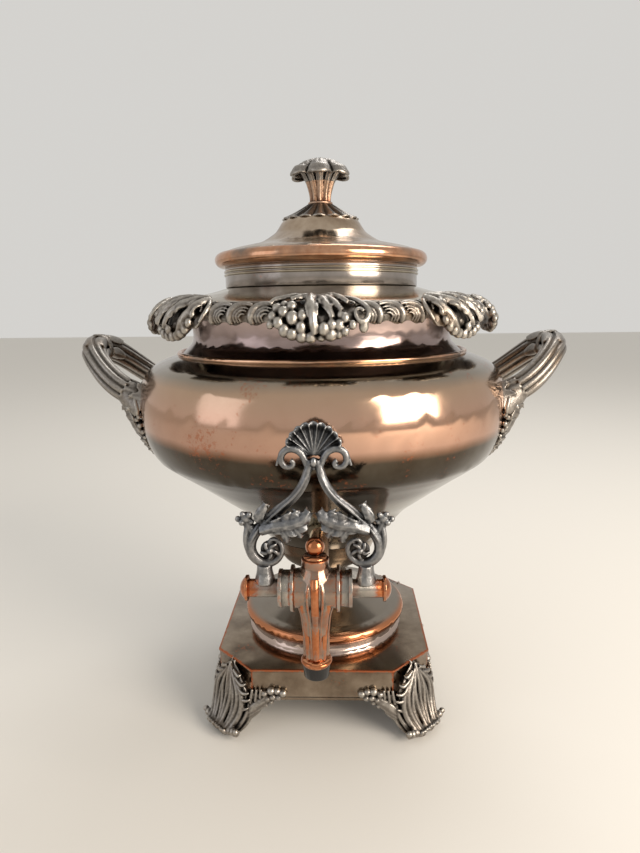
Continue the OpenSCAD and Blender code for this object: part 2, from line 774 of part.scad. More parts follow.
// one arm of the lever, from its foot on the plug up to the crest
module lever_arm() {
    // saddle on the plug
    translate([lever_half, 0, 0]) rotate([0, 90, 0]) cylinder(r = 6.4, h = 9, center = true);
    translate([lever_half - 1, 0, 4]) cylinder(r1 = 4.4, r2 = 3, h = 8);
    // arm and closing volute
    translate([3.4, 0, 69]) rotate([90, 0, 0]) rotate(-90)
        trail([[15, 50.7, 3], [0, 29, 2.8], [18, -50.7, 2.65], [12.5, -90, 2.5], [9, -90, 2.3],
               [8.2, -90, 2.1], [5, -90, 1.9], [3.4, -110, 1.7]]);
    // rosette in the volute
    translate([26, 0, 21.2]) {
        sphere(3.6);
        for (i = [0:4]) rotate([0, i * 72, 0]) translate([0, 0, 4.2]) sphere(2);
    }
    // leaf that points to the middle
    translate([0, 1.4, 0]) rotate([90, 0, 0]) linear_extrude(2.8)
        polygon(concat(curve([[3, 44.6], [8.4, 40.5], [14.7, 41.5], [22, 39], [29, 34.5]], 3),
                       curve([[26.6, 28], [21, 27.6], [15.7, 31], [11.5, 33], [7.4, 35.6]], 3)));
    // buds and small leaf on the outside
    drop([33.5, 0, 32], [41, 0, 40.5], 2, 3.2);
    drop([28, 0, 42], [32, 0, 48.5], 2.2, 1.6);
    // curl beside the crest
    translate([1.5, 0, 73.5]) rotate([90, 0, 0]) rotate(25)
        trail([[0, 5, 2.2], [7.6, -110, 2], [4.2, -110, 1.8], [2.8, -120, 1.6]]);
}

module tap_lever() {
    color(pewter) translate([0, -tap_reach, z_tap]) difference() {
        union() {
            lever_arm();
            mirror([1, 0, 0]) lever_arm();
            translate([0, 0, 70.5]) sphere(4.4);
            // shell crest
            translate([0, 1.3, 73.5]) rotate([90, 0, 0]) cylinder(r = 14.5, h = 2.2);
            for (a = [-72:18:72]) translate([0, -0.6, 73.5]) rotate([0, a, 0]) {
                translate([0, 0, 7]) cylinder(r1 = 1, r2 = 2, h = 9);
                translate([0, 0, 16.5]) sphere(2.4);
            }
        }
        rotate([0, 90, 0]) cylinder(r = 4.9, h = 90, center = true);
    }
}

// ---- heater ---------------------------------------------------------------

module heater_sleeve() {
    color(copper) translate([0, 0, z_bowl + wall]) difference() {
        cylinder(r = sleeve_r, h = sleeve_h);
        translate([0, 0, 9]) cylinder(r = sleeve_r - 1.2, h = sleeve_h);
        translate([0, 0, -1]) cylinder(r = sleeve_r - 1.2, h = 8.6);
    }
}

module heater_cap() {
    color(copper) translate([0, 0, z_bowl + wall + sleeve_h]) {
        difference() {
            translate([0, 0, -8]) cylinder(r = sleeve_r - 1.6, h = 8);
            translate([0, 0, -9]) cylinder(r = sleeve_r - 2.8, h = 9);
        }
        cylinder(r = sleeve_r + 1, h = 1.4);
        translate([0, 0, 1.4]) cylinder(r = 2.5, h = 4);
        translate([0, 0, 8]) sphere(4);
    }
}

module iron_slug() {
    color([0.2, 0.19, 0.18]) translate([0, 0, z_bowl + wall + 9]) {
        cylinder(r = sleeve_r - 4, h = slug_h);
        translate([0, 0, slug_h + 6]) rotate([90, 0, 0]) rotate_extrude() translate([6.5, 0]) circle(1.8);
    }
}

plinth();
foot_front_left();
foot_front_right();
foot_back_left();
foot_back_right();
pedestal();
stem();
tie_rod();
tie_nuts();
tie_washers();
bowl();
shoulder_ring();
neck();
rim_plate();
rim_band();
rim_gadroons();
rim_groups();
collar();
collar_bead();
lid_dome();
lid_rim();
lid_bezel();
finial_rosette();
finial_stem();
finial_cap();
finial_stud();
finial_nut();
handle_left();
handle_right();
handle_leaves_left();
handle_leaves_right();
tap_pipe();
tap_sleeve();
tap_body();
tap_plug();
tap_washers();
tap_glands();
tap_buttons();
tap_ball();
spout_ring();
spout_tip();
tap_lever();
heater_sleeve();
heater_cap();
iron_slug();
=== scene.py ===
import math
import bpy
import numpy as np
from mathutils import Matrix, Vector
from mathutils.bvhtree import BVHTree


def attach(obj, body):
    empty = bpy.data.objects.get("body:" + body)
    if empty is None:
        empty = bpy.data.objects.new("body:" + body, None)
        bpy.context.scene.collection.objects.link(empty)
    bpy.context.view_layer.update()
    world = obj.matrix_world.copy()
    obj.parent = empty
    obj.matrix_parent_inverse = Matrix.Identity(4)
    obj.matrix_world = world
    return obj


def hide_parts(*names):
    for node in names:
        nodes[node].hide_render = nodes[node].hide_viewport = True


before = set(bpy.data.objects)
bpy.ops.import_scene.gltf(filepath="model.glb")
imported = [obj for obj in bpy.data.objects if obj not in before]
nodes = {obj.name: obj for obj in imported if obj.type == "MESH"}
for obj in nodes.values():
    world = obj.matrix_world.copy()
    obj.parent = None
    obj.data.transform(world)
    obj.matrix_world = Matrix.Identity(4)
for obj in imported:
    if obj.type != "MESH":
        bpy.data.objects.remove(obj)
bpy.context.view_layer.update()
mm = 0.001  # ornaments are modelled in millimetres and brought to metres at the end
print("frame loaded with", len(nodes), "nodes")

# camera, floor and lamps

# camera in millimetres and degrees, apart from its near clip; that and the studio in metres and watts
camera = {"distance": 461.1, "height": 297.9, "turn": 1.9, "down": 11.1, "roll": -0.65, "lens": 25.96,
          "shift": -0.0034, "near": 0.01}
studio = {
    "floorSize": 12,
    "floor": "#ddd9d2",
    "floorRoughness": 0.75,
    "sky": "#e4e2de",
    "skyStrength": 0.85,
    # place, aim, width, height, power, colour
    "lamps": {
        "keyWindow": ((1.12, -0.88, 0.7), (0, 0, 0.23), 0.9, 0.9, 27, "#fff4e6"),
        "fillLeft": ((-1.5, -0.9, 0.7), (0, 0, 0.2), 0.9, 1.2, 3, "#eef2ff"),
        "rimBack": ((0.35, 0.8, 1.6), (0, 0, 0.25), 0.9, 0.5, 7, "#ffffff"),
    },
}


def linearColor(code):
    # sRGB hex to the linear values that a socket takes
    channels = [int(code[i:i + 2], 16) / 255 for i in (1, 3, 5)]
    return tuple(c / 12.92 if c <= 0.04045 else ((c + 0.055) / 1.055) ** 2.4 for c in channels) + (1,)


def addNode(tree, kind, values=None, links=None, stops=None, **settings):
    # one node with its settings, socket values, incoming links and, on a ramp, its stops
    node = tree.nodes.new(kind)
    for key, value in settings.items():
        setattr(node, key, value)
    for key, value in (values or {}).items():
        node.inputs[key].default_value = linearColor(value) if isinstance(value, str) else value
    for key, source in (links or {}).items():
        tree.links.new(source, node.inputs[key])
    if stops:
        ramp = node.color_ramp.elements
        while len(ramp) < len(stops):
            ramp.new(0.5)
        for element, (place, color) in zip(ramp, stops):
            element.position = place
            element.color = linearColor(color) if isinstance(color, str) else (color, color, color, 1)
    return node


def placeCamera():
    turn, down, roll = (math.radians(camera[key]) for key in ("turn", "down", "roll"))
    ahead = Vector((-math.sin(turn) * math.cos(down), math.cos(turn) * math.cos(down), -math.sin(down)))
    level = Vector((math.cos(turn), math.sin(turn), 0))
    upright = level.cross(ahead)
    right = math.cos(roll) * level + math.sin(roll) * upright
    up = math.cos(roll) * upright - math.sin(roll) * level
    bpy.ops.object.camera_add()
    eye = bpy.context.object
    eye.matrix_world = Matrix((right, up, -ahead)).transposed().to_4x4()
    eye.location = (camera["distance"] * math.sin(turn) * mm, -camera["distance"] * math.cos(turn) * mm,
                    camera["height"] * mm)
    eye.data.lens = camera["lens"]
    eye.data.shift_x = camera["shift"]
    eye.data.clip_start = camera["near"]
    bpy.context.scene.camera = eye


def layFloor():
    bpy.ops.mesh.primitive_plane_add(size=studio["floorSize"], location=(0, 0, 0))
    floor = bpy.context.object
    floor.name = "floor"
    paint = bpy.data.materials.new("mattPaint")  # eggshell wall paint: even, no gloss to speak of
    paint.use_nodes = True
    shader = paint.node_tree.nodes["Principled BSDF"]
    shader.inputs["Base Color"].default_value = linearColor(studio["floor"])
    shader.inputs["Roughness"].default_value = studio["floorRoughness"]
    floor.data.materials.append(paint)


def hangLamps():
    world = bpy.data.worlds.new("studioRoom")
    bpy.context.scene.world = world
    world.use_nodes = True
    sky = world.node_tree.nodes["Background"]
    sky.inputs["Color"].default_value = linearColor(studio["sky"])
    sky.inputs["Strength"].default_value = studio["skyStrength"]
    for name, (place, aim, width, height, power, color) in studio["lamps"].items():
        bpy.ops.object.light_add(type="AREA", location=place)
        lamp = bpy.context.object
        lamp.name = name
        lamp.rotation_euler = (Vector(aim) - Vector(place)).to_track_quat("-Z", "Y").to_euler()
        lamp.data.shape = "RECTANGLE"
        lamp.data.size = width
        lamp.data.size_y = height
        lamp.data.energy = power
        lamp.data.color = linearColor(color)[:3]


placeCamera()
layFloor()
hangLamps()
bpy.context.scene.view_settings.view_transform = "Standard"
print("camera, floor and lamps are set")

# materials


def startMaterial(name, roughness, metallic=1.0):
    # a metal unless it says otherwise, with patterns laid out in the object's own metres
    made = bpy.data.materials.new(name)
    made.use_nodes = True
    tree = made.node_tree
    shader = tree.nodes["Principled BSDF"]
    shader.inputs["Metallic"].default_value = metallic
    shader.inputs["Roughness"].default_value = roughness
    where = addNode(tree, "ShaderNodeTexCoord").outputs["Object"]
    return made, tree, shader, where


def endMaterial(tree, shader, color, gloss, height, strength, distance):
    # leads color and, where there is one, gloss to the shader, and height as a bump
    bump = addNode(tree, "ShaderNodeBump", {"Strength": strength, "Distance": distance}, {"Height": height})
    for socket, source in (("Base Color", color), ("Roughness", gloss), ("Normal", bump.outputs["Normal"])):
        if source:
            tree.links.new(source, shader.inputs[socket])


def plateMaterial(name, base, **changes):
    # silver rolled on copper, burnished, then tarnished: soft mirror, cloudy brown, copper where it is rubbed through
    look = dict(base, **changes)
    made, tree, shader, where = startMaterial(name, look["roughness"])
    cloud = addNode(tree, "ShaderNodeTexNoise", {"Scale": 1 / look["cloudSize"], "Detail": 7, "Roughness": 0.62},
                    {"Vector": where})
    speck = addNode(tree, "ShaderNodeTexNoise", {"Scale": 1 / look["speckSize"], "Detail": 6, "Roughness": 0.7},
                    {"Vector": where})
    body = addNode(tree, "ShaderNodeValToRGB", links={"Fac": cloud.outputs["Fac"]},
                   stops=[(0.33, look["clean"]), (0.52, look["haze"]), (0.7, look["tarnish"])])
    color = body.outputs["Color"]
    if "zones" in look:
        # colour bands that follow the height on the piece, with an uneven edge: on the belly painted reflections,
        # dark where dark surroundings would be mirrored; on the pedestal a ring worn to copper; on the neck a darker
        # lower edge
        parts = addNode(tree, "ShaderNodeSeparateXYZ", links={"Vector": where})
        wave = addNode(tree, "ShaderNodeTexNoise", {"Scale": 1 / look["edgeSize"], "Detail": 4, "Roughness": 0.45},
                       {"Vector": where})
        wobble = addNode(tree, "ShaderNodeMath", {1: 0.5}, {0: wave.outputs["Fac"]}, operation="SUBTRACT")
        height = addNode(tree, "ShaderNodeMath", {1: look["edgeHeight"]},
                         {0: wobble.outputs[0], 2: parts.outputs["Z"]}, operation="MULTIPLY_ADD")
        level = addNode(tree, "ShaderNodeMapRange", {"From Min": look["span"][0], "From Max": look["span"][1]},
                        {"Value": height.outputs[0]})
        zone = addNode(tree, "ShaderNodeValToRGB", links={"Fac": level.outputs["Result"]}, stops=look["zones"])
        color = addNode(tree, "ShaderNodeMix", {0: look["zoneShare"]}, {6: color, 7: zone.outputs["Color"]},
                        data_type="RGBA").outputs[2]
    rubbed = addNode(tree, "ShaderNodeMath", links={0: cloud.outputs["Fac"], 1: speck.outputs["Fac"]},
                     operation="MULTIPLY")
    bleed = addNode(tree, "ShaderNodeValToRGB", links={"Fac": rubbed.outputs[0]},
                    stops=[(look["bleedFrom"], 0.0), (look["bleedFrom"] + look["bleedSoft"], look["bleedMost"])])
    color = addNode(tree, "ShaderNodeMix", {7: look["copper"]}, {0: bleed.outputs["Color"], 6: color},
                    data_type="RGBA").outputs[2]
    if "corners" in look:
        # copper line where the plate is worn off the folded edges of the box
        wear = edgeDistance(tree, where, look["corners"])
        ragged = addNode(tree, "ShaderNodeMath", {1: look["corners"]["ragged"]}, {0: speck.outputs["Fac"], 2: wear},
                         operation="MULTIPLY_ADD")
        inner, outer = look["corners"]["line"]
        line = addNode(tree, "ShaderNodeMapRange", {"From Min": outer, "From Max": inner},
                       {"Value": ragged.outputs[0]})
        color = addNode(tree, "ShaderNodeMix", {7: look["copper"]}, {0: line.outputs["Result"], 6: color},
                        data_type="RGBA").outputs[2]
    gloss = addNode(tree, "ShaderNodeMapRange",
                    {"From Min": 0.35, "From Max": 0.7, "To Min": look["roughness"], "To Max": look["dull"]},
                    {"Value": cloud.outputs["Fac"]})
    # planishing and fine dents
    dents = addNode(tree, "ShaderNodeTexNoise", {"Scale": 1 / look["dentSize"], "Detail": 3}, {"Vector": where})
    endMaterial(tree, shader, color, gloss.outputs["Result"], dents.outputs["Fac"], look["dents"], 0.001)
    return made


def edgeDistance(tree, where, box):
    # distance from the nearest folded edge of a canted square box: the second smallest distance to its faces
    parts = addNode(tree, "ShaderNodeSeparateXYZ", links={"Vector": where})
    wide, deep = (addNode(tree, "ShaderNodeMath", links={0: parts.outputs[axis]}, operation="ABSOLUTE").outputs[0]
                  for axis in "XY")
    both = addNode(tree, "ShaderNodeMath", links={0: wide, 1: deep}, operation="ADD").outputs[0]
    faces = [addNode(tree, "ShaderNodeMath", {0: limit}, {1: place}, operation="SUBTRACT").outputs[0]
             for limit, place in ((box["half"], wide), (box["half"], deep), (box["canted"], both),
                                  (box["top"], parts.outputs["Z"]))]
    # the cut corner stands at 45 degrees, so its distance is shorter than the sum
    faces[2] = addNode(tree, "ShaderNodeMath", {1: math.sqrt(0.5)}, {0: faces[2]}, operation="MULTIPLY").outputs[0]
    pairs = [addNode(tree, "ShaderNodeMath", links={0: faces[i], 1: faces[j]}, operation="MAXIMUM").outputs[0]
             for i in range(4) for j in range(i)]
    nearest = pairs[0]
    for pair in pairs[1:]:
        nearest = addNode(tree, "ShaderNodeMath", links={0: nearest, 1: pair}, operation="MINIMUM").outputs[0]
    return nearest


def castMaterial(name, base, **changes):
    # cast and chased work: raised parts rubbed bright, hollows dark with tarnish and with painted shade; the relief
    # value stored on the mesh also holds how much sky each point sees, so what sees little sky is painted darker
    look = dict(base, **changes)
    made, tree, shader, where = startMaterial(name, look["roughness"])
    reliefAndShade = addNode(tree, "ShaderNodeAttribute", attribute_name="reliefAndShade")
    grain = addNode(tree, "ShaderNodeTexNoise", {"Scale": 1 / look["grainSize"], "Detail": 6, "Roughness": 0.65},
                    {"Vector": where})
    shaken = addNode(tree, "ShaderNodeMath", {1: look["unrest"], 2: -look["unrest"] / 2},
                     {0: grain.outputs["Fac"]}, operation="MULTIPLY_ADD")
    depth = addNode(tree, "ShaderNodeMath", links={0: reliefAndShade.outputs["Fac"], 1: shaken.outputs[0]}, operation="ADD")
    tone = addNode(tree, "ShaderNodeValToRGB", links={"Fac": depth.outputs[0]}, stops=look["tones"])
    patch = addNode(tree, "ShaderNodeTexNoise", {"Scale": 1 / look["patchSize"], "Detail": 5}, {"Vector": where})
    warm = addNode(tree, "ShaderNodeValToRGB", links={"Fac": patch.outputs["Fac"]},
                   stops=[(0.5, 0.0), (0.72, look["warmth"])])
    mixed = addNode(tree, "ShaderNodeMix", {7: look["warm"]}, {0: warm.outputs["Color"], 6: tone.outputs["Color"]},
                    data_type="RGBA")
    gloss = addNode(tree, "ShaderNodeMapRange", {"From Min": 0.3, "From Max": 0.75, "To Min": look["dull"],
                                                 "To Max": look["roughness"]}, {"Value": depth.outputs[0]})
    endMaterial(tree, shader, mixed.outputs[2], gloss.outputs["Result"], grain.outputs["Fac"], look["bump"], 0.0006)
    return made


# sizes of patterns are in metres
plateLook = {"clean": "#c4bba9", "haze": "#a89d8b", "tarnish": "#7d7064", "copper": "#a8603f", "cloudSize": 0.03,
             "speckSize": 0.0022, "roughness": 0.13, "dull": 0.25, "dents": 0.05, "dentSize": 1 / 55,
             "bleedFrom": 0.37, "bleedSoft": 0.06, "bleedMost": 0.6}
# rolled plate, burnished: soft grey mirror under a thin brown haze
plate = plateMaterial("tarnishedSilverPlate", plateLook)
# lid, handled most: browner, with more copper coming through
lidPlate = plateMaterial("brownedSilverPlate", plateLook, clean="#c9b7a2", haze="#aa9681", tarnish="#836f5d",
                         bleedFrom=0.36)
# body, polished to a mirror, with its reflections painted in as height bands: grey foot, nearly black underside of
# painted dark reflection, pink belly and grey shoulder
bellyPlate = plateMaterial(
    "reflectionBandedSilverPlate", plateLook, roughness=0.1, dull=0.2, span=(0.125, 0.268), edgeSize=0.05, edgeHeight=0.006,
    zoneShare=0.88, bleedFrom=0.325, bleedMost=0.55,
    zones=[(0.0, "#6e6861"), (0.17, "#6c665e"), (0.22, "#87857f"), (0.31, "#6f6c66"), (0.36, "#1f1a15"),
           (0.5, "#261f18"), (0.6, "#33281d"), (0.62, "#7c5a46"), (0.65, "#c09681"), (0.78, "#cba289"),
           (0.87, "#bf9f85"), (0.915, "#8f8578"), (1.0, "#756d63")])
# plinth box: duller, with a copper line where its folded edges are worn
boxPlate = plateMaterial(
    "edgeWornSilverPlate", plateLook, clean="#a39483", haze="#867767", tarnish="#5f5246", bleedFrom=0.35,
    corners={"half": 0.077, "canted": 0.1264, "top": 0.051, "ragged": 0.004, "line": (0.0028, 0.0036)})
# pedestal: pinkish cavetto, then a convex ring worn down to copper, grey above
footPlate = plateMaterial(
    "ringedSilverPlate", plateLook, clean="#a89e91", haze="#8e8478", tarnish="#6b6056", span=(0.051, 0.095),
    edgeSize=0.02, edgeHeight=0.0006, zoneShare=0.88,
    zones=[(0.0, "#b09c92"), (0.13, "#cdb7aa"), (0.17, "#b0765a"), (0.26, "#c67f52"), (0.37, "#bb7850"),
           (0.41, "#8f867b"), (1.0, "#8f877d")])
# collar: the coolest grey of the sheet work
collarPlate = plateMaterial("greySilverPlate", plateLook, clean="#b0a69f", haze="#968e87", tarnish="#6f655d")
# neck: rosy, darker where it meets the shoulder
neckPlate = plateMaterial(
    "rosySilverPlate", plateLook, clean="#a69492", haze="#8f7e7b", tarnish="#67595a", span=(0.268, 0.292),
    edgeSize=0.02, edgeHeight=0.003, zoneShare=0.6, zones=[(0.0, "#80706a"), (0.4, "#a8948e"), (1.0, "#c6b2ab")])

pewterLook = {"tones": [(0.3, "#0c0a09"), (0.48, "#292623"), (0.62, "#57524c"), (0.76, "#86807a"), (0.9, "#b1aba2")],
              "grainSize": 0.0016, "patchSize": 0.03, "warm": "#75604b", "warmth": 0.45, "roughness": 0.34,
              "dull": 0.6, "bump": 0.35, "unrest": 0.28}
rubbedLook = dict(pewterLook, grainSize=0.0022, patchSize=0.012, warm="#8f5b41", warmth=0.6, roughness=0.24,
                  dull=0.44, bump=0.15)
ringLook = dict(pewterLook, grainSize=0.004, patchSize=0.022, warm="#7d7066", roughness=0.17, dull=0.3, bump=0.05)
# cast ornament: black in the hollows from tarnish and painted shade, dull pewter grey on the crests
castSilver = castMaterial("dullCastSilver", pewterLook)
# finial stem: the same casting, rubbed warm by hands
warmSilver = castMaterial(
    "rubbedCastSilver", pewterLook, warm="#a3664a", warmth=0.6,
    tones=[(0.3, "#1d1511"), (0.48, "#4a382d"), (0.62, "#806350"), (0.76, "#ad8f78"), (0.9, "#d2bba6")])
# tap lever: colder and darker grey
castLever = castMaterial(
    "greyCastSilver", pewterLook, warm="#5d544b", warmth=0.4,
    tones=[(0.3, "#0c0c0c"), (0.48, "#252526"), (0.62, "#494a4c"), (0.76, "#717274"), (0.9, "#9b9a99")])
# turned tap parts: grey plate, copper only on the sharpest edges
rubbedTap = castMaterial("silveredCopperTurning", rubbedLook, tones=[
    (0.3, "#1f1b18"), (0.5, "#4c4844"), (0.66, "#8f8a82"), (0.82, "#a79f96"), (0.9, "#b2663f"), (0.98, "#cf8a5d")])
# tap body: plate rubbed through on every raised reed
silveredTap = castMaterial("silveredCopperCasting", rubbedLook, tones=[
    (0.3, "#1b1714"), (0.5, "#4a423c"), (0.66, "#857b71"), (0.76, "#9a8474"), (0.84, "#ae6a49"), (0.96, "#cb8a60")])
# thin mouldings: pale copper with patches of grey plate left on it
wornRing = castMaterial("wornPlateMoulding", ringLook, warmth=0.9,
                        tones=[(0.35, "#5a4032"), (0.55, "#946a51"), (0.74, "#bb8868"), (0.9, "#dab192")])
# bare copper where fingers wear it: redder and brighter
bareCopper = castMaterial("rubbedCopper", ringLook, warmth=0.45,
                          tones=[(0.35, "#3f271b"), (0.55, "#7b4930"), (0.74, "#a96540"), (0.9, "#cf9068")])


def plainMaterial(name, tones, roughness, metallic, grain, bumpStrength):
    # two tones over one grain, for the tip and the parts inside
    made, tree, shader, where = startMaterial(name, roughness, metallic)
    noise = addNode(tree, "ShaderNodeTexNoise", {"Scale": 1 / grain, "Detail": 6}, {"Vector": where})
    tone = addNode(tree, "ShaderNodeValToRGB", links={"Fac": noise.outputs["Fac"]},
                   stops=[(0.35, tones[0]), (0.65, tones[1])])
    endMaterial(tree, shader, tone.outputs["Color"], None, noise.outputs["Fac"], bumpStrength, 0.0005)
    return made


# pressed horn, polished by use: near black with a brown bloom
blackHorn = plainMaterial("blackHorn", ("#060505", "#120f0d"), 0.22, 0.0, 0.004, 0.1)
# tinned sheet: grey, slightly mottled
tinnedCopper = plainMaterial("tinnedCopper", ("#8d8379", "#a89d90"), 0.35, 1.0, 0.008, 0.1)
# sand-cast iron with a scaled skin
scaledIron = plainMaterial("scaledIron", ("#2a2725", "#3b3531"), 0.6, 0.6, 0.002, 0.6)
slots = {
    "silver_plate": (plate, lidPlate, bellyPlate, boxPlate, footPlate, collarPlate, neckPlate),
    "cast_silver": (castSilver, warmSilver, castLever),
    "worn_copper": (rubbedTap, silveredTap, wornRing, bareCopper),
    "black_tip": (blackHorn,),
    "inner_copper": (tinnedCopper,),
    "cast_iron": (scaledIron,),
}
slotOf = {material.name: slot for slot, materials in slots.items() for material in materials}
print("materials are made")

# modelling helpers, in millimetres and degrees

work = {
    # points closer than this are one; a flat area; an edge that is softened; an edge that stays sharp to the eye
    "weld": 0.002, "flat": 1.5, "softened": 35, "sharp": 32,
    # how far the open sky is looked for, and how far off the surface that starts
    "skyReach": 5, "skyStart": 0.12,
    # relief and painted shade value: of a level spot without sky, added for full height and for the whole sky (the
    # sky part is painted shade)
    "reliefAndShade": (0.25, 0.22, 0.5),
}


def alone(piece):
    bpy.ops.object.select_all(action="DESELECT")
    piece.select_set(True)
    bpy.context.view_layer.objects.active = piece


def modify(piece, kind, **settings):
    # adds a modifier with its settings and applies it
    alone(piece)
    made = piece.modifiers.new(kind.lower(), kind)
    for key, value in settings.items():
        setattr(made, key, value)
    bpy.ops.object.modifier_apply(modifier=made.name)
    return piece


def joined(pieces):
    bpy.ops.object.select_all(action="DESELECT")
    for piece in pieces:
        piece.select_set(True)
    bpy.context.view_layer.objects.active = pieces[0]
    if len(pieces) > 1:
        bpy.ops.object.join()
    return bpy.context.object


def ball(place, radius, stretch=(1, 1, 1)):
    bpy.ops.mesh.primitive_uv_sphere_add(segments=16, ring_count=10, radius=radius, location=place)
    piece = bpy.context.object
    piece.scale = stretch
    bpy.ops.object.transform_apply(location=True, rotation=True, scale=True)
    return piece


def rod(points, radii, rounding=3):
    # round bar along a smooth line, its radius changing from point to point
    line = bpy.data.curves.new("rod", "CURVE")
    line.dimensions = "3D"
    line.bevel_depth = 1
    line.bevel_resolution = rounding
    line.use_fill_caps = True
    line.resolution_u = 4
    path = line.splines.new("NURBS")
    path.points.add(len(points) - 1)
    for spot, place, radius in zip(path.points, points, radii):
        spot.co = (*place, 1)
        spot.radius = radius
    path.order_u = 3
    path.use_endpoint_u = True
    piece = bpy.data.objects.new("rod", line)
    bpy.context.scene.collection.objects.link(piece)
    alone(piece)
    bpy.ops.object.convert(target="MESH")
    return bpy.context.object


def taper(rows, place=lambda *spot: spot, rounding=3):
    # bar through rows that each end in its radius there; place turns the rest of a row into a point
    return rod([place(*row[:-1]) for row in rows], [row[-1] for row in rows], rounding)


def sheet(columns, rows, place, thick, side=-1):
    # grid whose points go where place(u, v) says, u and v from -1 to 1, then given a thickness on one side
    bpy.ops.mesh.primitive_grid_add(x_subdivisions=columns, y_subdivisions=rows, size=2)
    piece = bpy.context.object
    for corner in piece.data.vertices:
        corner.co = place(corner.co.x, corner.co.y)
    return modify(piece, "SOLIDIFY", thickness=thick, offset=side)


def reshape(piece, move):
    for corner in piece.data.vertices:
        corner.co = move(corner.co)
    piece.data.update()
    return piece


def moved(piece, matrix):
    piece.data.transform(matrix)
    return piece


def smoothLine(points, count):
    # evenly counted points on a rounded line through all the given ones
    spots = [Vector(point) for point in points]
    spots = [2 * spots[0] - spots[1]] + spots + [2 * spots[-1] - spots[-2]]
    line = []
    for at in np.linspace(0, len(points) - 1, count):
        k = min(int(at), len(points) - 2)
        a, b, c, d = spots[k:k + 4]
        f = float(at - k)
        line.append(0.5 * (2 * b + (c - a) * f + (2 * a - 5 * b + 4 * c - d) * f ** 2
                           + (3 * b - a - 3 * c + d) * f ** 3))
    return line


def leafStrip(points, widths, teeth, crown, thick, bite=0.3):
    # leaf along a line in flat work: half widths from stalk to tip, teeth cut into both edges, a raised midrib
    line = smoothLine(points, 40)

    def place(u, v):
        reach = (v + 1) / 2
        at = reach * (len(line) - 1)
        k = min(int(at), len(line) - 2)
        spot = line[k].lerp(line[k + 1], at - k)
        ahead = line[k + 1] - line[k]
        side = Vector((-ahead.y, ahead.x, 0)).normalized()
        beat = 2 * math.pi * teeth * reach
        half = float(np.interp(reach, np.linspace(0, 1, len(widths)), widths))
        half *= 1 - bite + bite * 1.4 * (0.5 - 0.5 * math.cos(beat))
        veinDepth = 0.62 * crown * (0.3 + 0.7 * math.sin(math.pi * reach))
        vein = veinDepth * math.cos(beat - 2.6 * abs(u)) * abs(u) ** 0.7
        return spot + side * (u * half) + Vector((0, 0, crown * math.exp(-(u * 3.4) ** 2) + vein))

    return sheet(16, 56, place, thick)


def duplicate(piece):
    copy = bpy.data.objects.new(piece.name, piece.data.copy())
    bpy.context.scene.collection.objects.link(copy)
    return copy


def mirrored(piece, axis):
    # mirror image across the plane square to the axis, faces turned back outwards
    piece.data.transform(Matrix.Scale(-1, 4, axis))
    piece.data.flip_normals()
    return piece


# directions over a point, along its two sides and up, in which the open sky is looked for
skyRays = [(math.cos(turn) * math.cos(lift), math.sin(turn) * math.cos(lift), math.sin(lift))
           for lift, count in ((0.45, 6), (1.0, 5)) for turn in np.arange(count) * 2 * math.pi / count] + [(0, 0, 1)]


def openSky(piece):
    # share of the sky that each point sees past what is near: low in the hollows
    tree = BVHTree.FromObject(piece, bpy.context.evaluated_depsgraph_get())
    shares = []
    for corner in piece.data.vertices:
        up = corner.normal
        side = up.orthogonal().normalized()
        other = up.cross(side)
        start = corner.co + up * work["skyStart"]
        seen = sum(tree.ray_cast(start, side * a + other * b + up * c, work["skyReach"])[0] is None
                   for a, b, c in skyRays)
        shares.append(seen / len(skyRays))
    return np.array(shares)


def markReliefAndShade(piece, depth, passes):
    # stores how raised and open to the sky each point is: low in the hollows, high on the crests; the open-sky share
    # is painted shade that darkens what little sky reaches
    mesh = piece.data
    count = len(mesh.vertices)
    places, normals = np.empty((count, 3)), np.empty((count, 3))
    edges = np.empty((len(mesh.edges), 2), dtype=np.int64)
    mesh.vertices.foreach_get("co", places.ravel())
    mesh.vertex_normals.foreach_get("vector", normals.ravel())
    mesh.edges.foreach_get("vertices", edges.ravel())
    ends, others = edges.T.ravel(), edges[:, ::-1].T.ravel()
    share = np.maximum(np.bincount(ends, minlength=count), 1)
    level = places.copy()
    for _ in range(passes):
        level = np.stack([np.bincount(ends, level[others, k], count) / share for k in range(3)], 1)
    height = np.clip(((places - level) * normals).sum(1) / depth, -1, 1)
    plain, raised, openness = work["reliefAndShade"]
    # the open-sky share goes into the colour as painted shade: the less sky a point sees, the darker it is painted
    values = np.clip(plain + raised * height + openness * openSky(piece), 0, 1)
    layer = mesh.attributes.get("reliefAndShade") or mesh.attributes.new("reliefAndShade", "FLOAT", "POINT")
    layer.data.foreach_set("value", values.astype(np.float32))
    return piece


def cast(pieces, grain, keep, depth, passes):
    # melts overlapping shapes into one casting: size of its faces, share of them kept, depth and width of its relief,
    # whose marks also carry painted shade
    whole = joined(pieces)
    modify(whole, "REMESH", mode="VOXEL", voxel_size=grain, use_smooth_shade=True)
    modify(whole, "SMOOTH", factor=0.5, iterations=1)
    modify(whole, "DECIMATE", ratio=keep)
    return markReliefAndShade(whole, depth, passes)


def copiesRound(piece, angles):
    # the same shape again at each angle round the upright axis, as one piece
    made = [moved(duplicate(piece), Matrix.Rotation(math.radians(angle), 4, "Z")) for angle in angles]
    bpy.data.objects.remove(piece)
    return joined(made)


def finish(piece, name, body, material, node=None):
    # brings a piece to metres, gives it its finish, fixes it to its body and puts it in the place of its node
    piece.name = name
    piece.data.name = name
    piece.data.transform(Matrix.Scale(mm, 4))
    piece.data.materials.clear()
    piece.data.materials.append(material)
    alone(piece)
    bpy.ops.object.shade_smooth()
    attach(piece, body)
    if node:
        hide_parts(node)
    print(name, len(piece.data.polygons), "faces")


